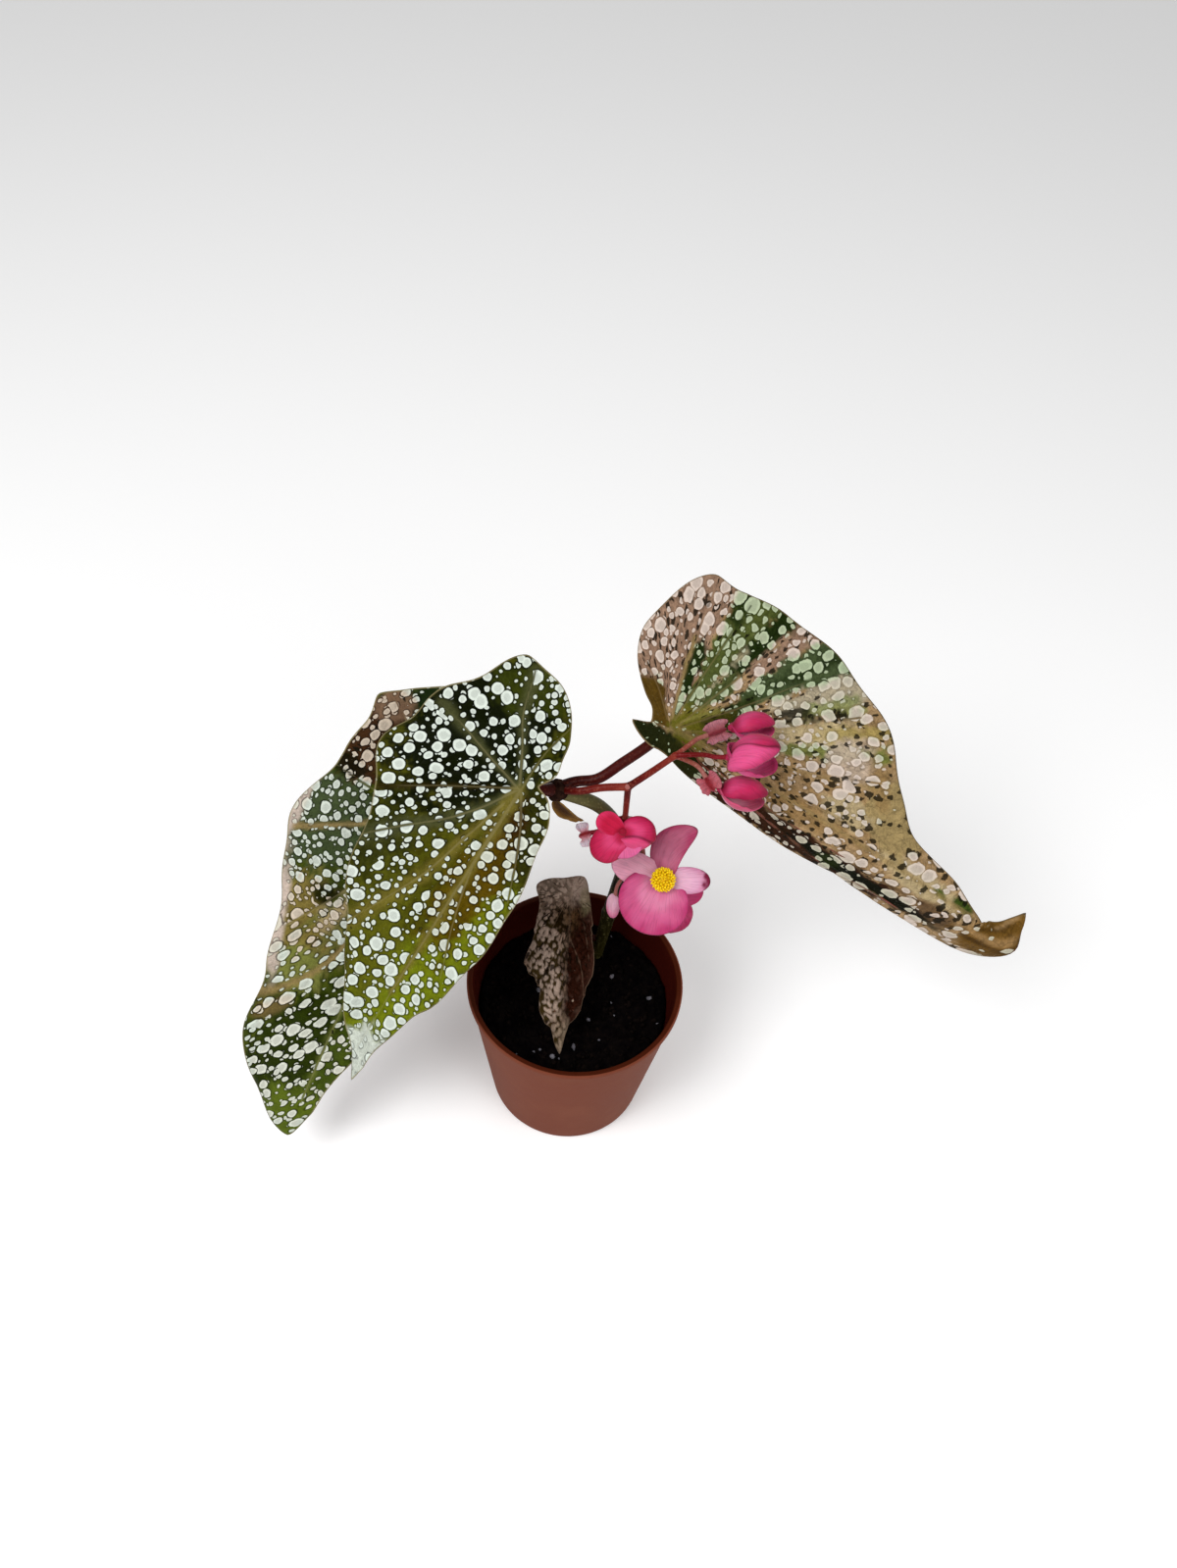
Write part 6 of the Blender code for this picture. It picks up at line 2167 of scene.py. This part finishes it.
@dataclass
class Bud:
    """A small closed bud that hangs on its pedicel."""

    start: Point = (10.4, 9.6, 104.6)
    end: Point = (9.6, 5.2, 97.0)
    radius: float = 2.2
    flatness: float = 0.9
    crease: float = 0.10
    pale: Colour = tone(226, 178, 196)
    deep: Colour = tone(204, 100, 140)
    finish: PetalFinish = PetalFinish("pale bud", 0.2, 0.35, 0.12)

    def build(self) -> None:
        """Builds and dresses the bud: a ball drawn out to its tip and creased where its tepals meet."""
        start, end = np.array(self.start), np.array(self.end)
        half = float(np.linalg.norm(end - start)) / 2
        made = pebble((1.0, 1.0, 1.0), 48, 31)
        x, y, z = made.points.T
        turn = np.arctan2(y, x)
        full = self.radius * (1 - self.crease * np.exp(-((np.sin(turn + 0.5) / 0.16) ** 2)) * (1 - z**8))
        made.points = np.column_stack([x * full, y * full * self.flatness, z * half])
        made.values = {
            "flat": np.column_stack([x, z]) / FLAT_UNIT,
            "zone": blend(self.pale, self.deep, eased(z + 0.3 * np.cos(turn * 2), -0.8, 0.9)),
            "grain": np.column_stack([turn * 4, z * 0.6, 0 * z]),
        }
        made = made.placed((start + end) / 2, facing(RIGHTWARD, end - start))
        dress(made, "bud_small", [self.finish], "small_bud")


@dataclass(frozen=True)
class Branch:
    """A length of the flower stalk from one named point to another, its radius at each end and its finish."""

    start: str
    by: tuple[Point, ...]
    end: str
    radii: Pair
    slot: int


RED, PALE, DEEP = range(3)


@dataclass
class FlowerStalk:
    """The red stalk with its forks and pedicels, which end at hearts, hinges, ovaries and the bud."""

    knob: Knob
    blooms: dict[str, Bloom]
    pods: dict[str, Ovary | Bud]
    run_in: float = 3.0
    sides: int = 18
    spacing: float = 0.5
    forks: tuple[tuple[str, Point, float], ...] = (
        ("fork one", (10.0, 11.4, 157.0), 1.35),
        ("fork two", (22.7, 14.0, 170.0), 1.1),
        ("fork three", (10.4, 12.4, 141.2), 1.1),
    )
    branches: tuple[Branch, ...] = (
        Branch("knob", ((-4.4, 10.8, 153.6), (2.0, 11.2, 155.6)), "fork one", (1.15, 1.2), RED),
        Branch("fork one", ((16.6, 12.4, 164.0),), "fork two", (1.1, 0.95), RED),
        Branch("fork one", ((10.2, 12.2, 149.0),), "fork three", (1.05, 0.9), RED),
        Branch("fork two", ((27.0, 18.2, 171.2),), "top ovary", (0.75, 0.65), PALE),
        Branch("fork two", ((31.0, 12.2, 173.4),), "middle hinge", (0.75, 0.65), DEEP),
        Branch("fork two", (), "lower ovary", (0.75, 0.65), PALE),
        Branch("fork three", (), "nodding heart", (0.75, 0.7), DEEP),
        Branch("fork three", ((6.2, 12.8, 138.6),), "nodding ovary", (0.7, 0.6), DEEP),
        Branch(
            "fork three", ((15.6, 19.8, 130.0), (17.5, 20.8, 118.0), (19.6, 18.8, 110.2)), "open heart",
            (0.75, 0.7), PALE,
        ),
        Branch(
            "fork three", ((15.0, 21.0, 128.0), (16.8, 22.0, 114.0), (20.6, 19.6, 105.4)), "behind heart",
            (0.7, 0.65), DEEP,
        ),
        Branch(
            "fork three", ((13.4, 16.8, 129.0), (14.4, 17.0, 118.0), (13.2, 14.6, 110.0)), "bud tip",
            (0.65, 0.55), PALE,
        ),
    )
    swollen: tuple[Point, ...] = ((0.0, 1.1, 0.22), (1.0, 0.9, 0.18))
    scar: Point = (0.85, 0.85, 0.45)
    scar_faces: Point = (-0.1, -0.65, 0.75)
    scar_reach: float = 1.2
    finishes: tuple[StemFinish, ...] = (
        StemFinish(
            "red flower stalk", tones((60, 6, 5), (96, 22, 16), (116, 40, 30), (150, 84, 66)),
            0.32, 0.22, 0.25,
        ),
        StemFinish(
            "pale pedicel", tones((112, 34, 26), (134, 70, 58), (146, 90, 84), (190, 140, 128)),
            0.35, 0.2, 0.2,
        ),
        StemFinish(
            "deep pedicel", tones((96, 14, 14), (88, 8, 9), (120, 22, 32), (150, 66, 68)),
            0.35, 0.2, 0.2,
        ),
    )

    def place_of(self, name: str) -> list[Array]:
        """Returns the last points of a branch that ends at a named heart, hinge, ovary or bud."""
        flower, _, place = name.partition(" ")
        if place in ("heart", "hinge"):
            bloom = self.blooms[flower]
            away = -bloom.axes()[:, 2] * bloom.squash if place == "heart" else -unit(bloom.right)
            end = np.array(bloom.heart) + away * bloom.heart_radius * 0.5
        else:
            near, far = np.array(self.pods[flower].start), np.array(self.pods[flower].end)
            away = unit(near - far)
            end = near - away * 0.5
        return [end + unit(away) * self.run_in, end]

    def build(self) -> None:
        """Builds and dresses the stalk: smooth tubes that run into each other at small knuckles."""
        forks = {name: np.array(at) for name, at, _ in self.forks}
        sheets = []
        for branch in self.branches:
            first = self.knob.edge(branch.by[0], SUNK) if branch.start == "knob" else forks[branch.start]
            last = [forks[branch.end]] if branch.end in forks else self.place_of(branch.end)
            route = [first, *branch.by, *last]
            radii = np.linspace(*branch.radii, len(route))
            made = stem(route, radii, self.sides, self.spacing, self.swollen)
            made.slots = made.slots + branch.slot
            sheets.append(made)
        for _, at, size in self.forks:
            lump = pebble((1.0, 1.0, 1.0), 24, 13).filled(sheets[0], 0.8)
            lump.points *= size * (1 + 0.05 * ripple(*lump.points.T[:2], 5, 0.8))[:, None]
            sheets.append(lump.placed(at))
        scar = pebble(self.scar, 20, 11).filled(sheets[0], 0.9)
        scar.slots = scar.slots + PALE
        towards = unit(self.scar_faces)
        sheets.append(scar.placed(forks["fork one"] + towards * self.scar_reach, facing((1, 0, 0), towards)))
        dress(Sheet.joined(sheets), "stalk_flowers", self.finishes, "flower_stalk")


SOFT_TEPALS = PetalFinish("soft tepals", 0.2, 0.45, 0.08)
SHELL = (
    tones((130, 12, 48), (176, 38, 82), (138, 20, 58), (192, 62, 108)),
    tones((150, 26, 66), (204, 78, 128), (176, 46, 96), (222, 124, 168)),
)
PALE_SHELL = (SHELL[0], tones((160, 40, 72), (196, 88, 118), (184, 70, 104), (224, 158, 180)))

BLOOMS = (
    Bloom(
        "open", Slot.SOFT_PINK, (24.8, 9.5, 115.0), (-0.06, -0.60, 0.80), RIGHTWARD,
        (
            Tepal(
                58, 12, 20.0, 11.4, 1.2, 0.0, -0.05, 0, 0.012,
                tones((150, 62, 92), (178, 92, 120), (160, 56, 92), (190, 108, 136)), sway=3.9,
            ),
            Tepal(
                158, 6, 17.5, 10.8, 1.0, 0.10, -0.05, 0, 0.010,
                tones((190, 118, 144), (212, 148, 170), (214, 150, 172), (218, 158, 178)),
            ),
            Tepal(
                -2, 8, 15.5, 8.8, 1.0, 0.10, -0.05, 0, 0.012,
                tones((184, 112, 144), (208, 156, 182), (196, 128, 160), (214, 166, 190)),
                tip=tone(110, 18, 52),
            ),
            Tepal(
                -113, 8, 18.6, 23.0, 2.6, 0.0, 0.012, 6, 0.004,
                tones((186, 104, 138), (192, 84, 128), (172, 50, 100), (204, 120, 154)),
            ),
        ),
        tone(150, 56, 92), finish=SOFT_TEPALS,
    ),
    Bloom(
        "behind", Slot.DEEP_PINK, (28.4, 10.0, 104.2), (0.30, -0.75, 0.45), RIGHTWARD,
        (
            Tepal(
                -80, 2, 14.3, 14.0, 1.0, 0.0, -0.05, 0, 0.03,
                tones((150, 36, 80), (176, 52, 98), (158, 32, 78)),
            ),
            Tepal(
                12, 2, 11.5, 9.0, 1.0, 0.0, -0.05, 0, 0.03,
                tones((150, 36, 80), (176, 60, 104), (168, 44, 90)),
            ),
        ),
    ),
    Bloom(
        "nodding", Slot.DEEP_PINK, (9.9, 7.0, 141.0), (0.0, -0.80, 0.60), RIGHTWARD,
        (
            Tepal(
                -14, -14, 11.5, 12.5, 1.2, 0.0, -0.13, 26, 0.080,
                tones((150, 14, 44), (180, 34, 80), (146, 14, 50), (204, 62, 110)), seam=tone(204, 66, 112),
            ),
            Tepal(
                -132, -8, 12.8, 12.4, 1.2, 0.0, -0.09, 14, 0.040,
                tones((150, 14, 44), (180, 34, 76), (158, 18, 56), (196, 60, 104)),
            ),
            Tepal(
                -86, -7, 9.4, 12.0, 0.6, 0.0, -0.03, 0, 0.010,
                tones((196, 50, 96), (204, 92, 138), (206, 92, 142)),
            ),
            Tepal(
                148, -4, 9.0, 7.0, 0.8, 0.25, -0.05, 10, 0.020,
                tones((118, 6, 26), (176, 22, 58), (196, 40, 84)),
            ),
        ),
        tone(150, 16, 46),
    ),
    Bloom(
        "top", Slot.DEEP_PINK, (38.8, 25.0, 172.4), (-0.11, 0.34, 0.93), (0.99, 0.10, 0.10),
        shell_pair((15.5, 15.5), 12.5, 10, SHELL),
    ),
    Bloom(
        "middle", Slot.DEEP_PINK, (37.5, 10.2, 175.6), (-0.12, 0.10, 0.98), (0.99, 0.02, 0.10),
        shell_pair((18.0, 18.5), 17.0, 34, SHELL, 3.4, tone(204, 74, 124), 13.0),
    ),
    Bloom(
        "lower", Slot.DEEP_PINK, (36.8, 8.8, 163.2), (-0.05, 0.30, 0.95), (0.98, -0.10, -0.06),
        shell_pair((16.5, 16.5), 14.0, 14, PALE_SHELL),
    ),
)

OVARIES = (
    Ovary(
        "top", (31.3, 21.8, 171.2), (37.3, 24.6, 172.2),
        *tones((146, 78, 84), (164, 104, 114), (112, 34, 44)), wing_reach=3.2, wing_share=1.15,
    ),
    Ovary(
        "lower", (32.0, 11.2, 165.2), (35.0, 7.4, 163.4),
        *tones((158, 66, 76), (168, 90, 100), (120, 20, 30)), wing_reach=3.2, wing_share=1.1,
    ),
    Ovary(
        "nodding", (0.8, 9.8, 135.6), (-3.3, 9.0, 133.8),
        *tones((200, 120, 130), (206, 188, 198), (130, 20, 26)),
    ),
)


# Studio


@dataclass
class Studio:
    """The camera at the photograph's angle, a pale floor, and soft light from all round."""

    eye: Point = (-1.830, -235.296, 446.042)
    right: Point = (0.9955, 0.0721, 0.0615)
    up: Point = (-0.0948, 0.7577, 0.6457)
    focal: float = 1300.0
    frame_height: float = 1599.0
    sensor: float = 36.0
    floor_size: float = 4000.0
    clips: Pair = (0.01, 50.0)
    plant_middle: Point = (0.0, 0.0, 120.0)
    sky: float = 0.44

    def stand(self, data: bpy.types.ID, axes: Array, at: Point) -> bpy.types.Object:
        """Adds an object of a camera or a lamp at a place in millimetres, with its axes as columns."""
        matrix = np.eye(4)
        matrix[:3, :3], matrix[:3, 3] = axes, np.array(at) * MM
        made = bpy.data.objects.new(data.name, data)
        made.matrix_world = Matrix(matrix.tolist())
        bpy.context.scene.collection.objects.link(made)
        return made

    def camera(self) -> None:
        """Sets the camera up: columns right, up and back; lens = sensor times focal over frame height."""
        data = bpy.data.cameras.new("camera")
        data.lens, data.sensor_width = self.sensor * self.focal / self.frame_height, self.sensor
        data.clip_start, data.clip_end = self.clips
        across, up = unit(self.right), unit(self.up)
        axes = np.column_stack([across, up, np.cross(across, up)])
        bpy.context.scene.camera = self.stand(data, axes, self.eye)

    def floor(self) -> None:
        """Lays a plain pale floor under the pot."""
        corners = np.array([[-1, -1, 0], [1, -1, 0], [1, 1, 0], [-1, 1, 0]]) * self.floor_size / 2
        graph = Graph("studio floor", Emission_Strength=0.12)
        material = graph.finish(Base_Color=(0.93, 0.93, 0.93), Roughness=0.9, Emission_Color=(1.0, 1.0, 1.0))
        floor = Sheet.of(corners, np.array([[0, 1, 2, 3]])).to_object("floor", [material])

    def light(self, name: str, at: Point, size: float, power: float) -> None:
        """Adds a square lamp that faces the plant, with its place and size in millimetres."""
        data = bpy.data.lights.new(name, "AREA")
        data.shape, data.size, data.energy = "SQUARE", size * MM, power
        towards = unit(np.array(self.plant_middle) - np.array(at))
        self.stand(data, facing(np.cross(towards, (0.1, 0.9, 0.2)), -towards), at)

    def build(self) -> None:
        """Builds the camera, the floor and the lights, and sets plain colours without a film curve."""
        self.camera()
        self.floor()
        self.light("key", (-450, -450, 1000), 500, 8.6)
        self.light("fill", (600, -500, 800), 600, 3.6)
        world = bpy.data.worlds.new("studio")
        world.use_nodes = True
        inputs = world.node_tree.nodes["Background"].inputs
        inputs["Color"].default_value, inputs["Strength"].default_value = (1, 1, 1, 1), self.sky
        bpy.context.scene.world = world
        bpy.context.scene.view_settings.view_transform = "Standard"


def main() -> None:
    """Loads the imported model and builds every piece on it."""
    logging.basicConfig(level=logging.INFO, format="%(name)s %(message)s")
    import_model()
    knob, pot, bud = Knob(), Pot(), Bud()
    grown = {leaf.name: leaf for leaf in LEAVES}
    flowers = {bloom.name: bloom for bloom in BLOOMS}
    pods = {pod.name: pod for pod in OVARIES}
    back_route = ((-24.0, 21.0, 144.0), (-36.0, 24.0, 132.0), (-44.0, 23.5, 126.5))
    right_route = ((-7.0, 15.3, 151.7), (0.6, 15.4, 154.6), (7.6, 19.5, 158.1), (14.6, 24.4, 161.2))
    young_route = ((7.4, 18.7, 63.2), (2.6, 18.8, 65.5), (-0.8, 19.0, 74.0), (-3.2, 18.8, 85.0))
    pieces = (
        pot, Soil(pot), Cane(knob), Stipule(knob), *LEAVES,
        Petiole(grown["front"], knob, ((-16.8, 9.8, 153.6),), 1.7, 3.0),
        Petiole(grown["back"], knob, back_route, 1.6, 3.0),
        Petiole(grown["right"], knob, right_route, 1.65, 1.2),
        Petiole(grown["young"], knob, young_route, 1.0, 2.0, from_knob=False),
        *BLOOMS, Stamens(flowers["open"]), *OVARIES, bud,
        FlowerStalk(knob, flowers, {**pods, "bud": bud}), Studio(),
    )
    for piece in pieces:
        piece.build()
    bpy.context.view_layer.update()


if __name__ == "__main__":
    main()
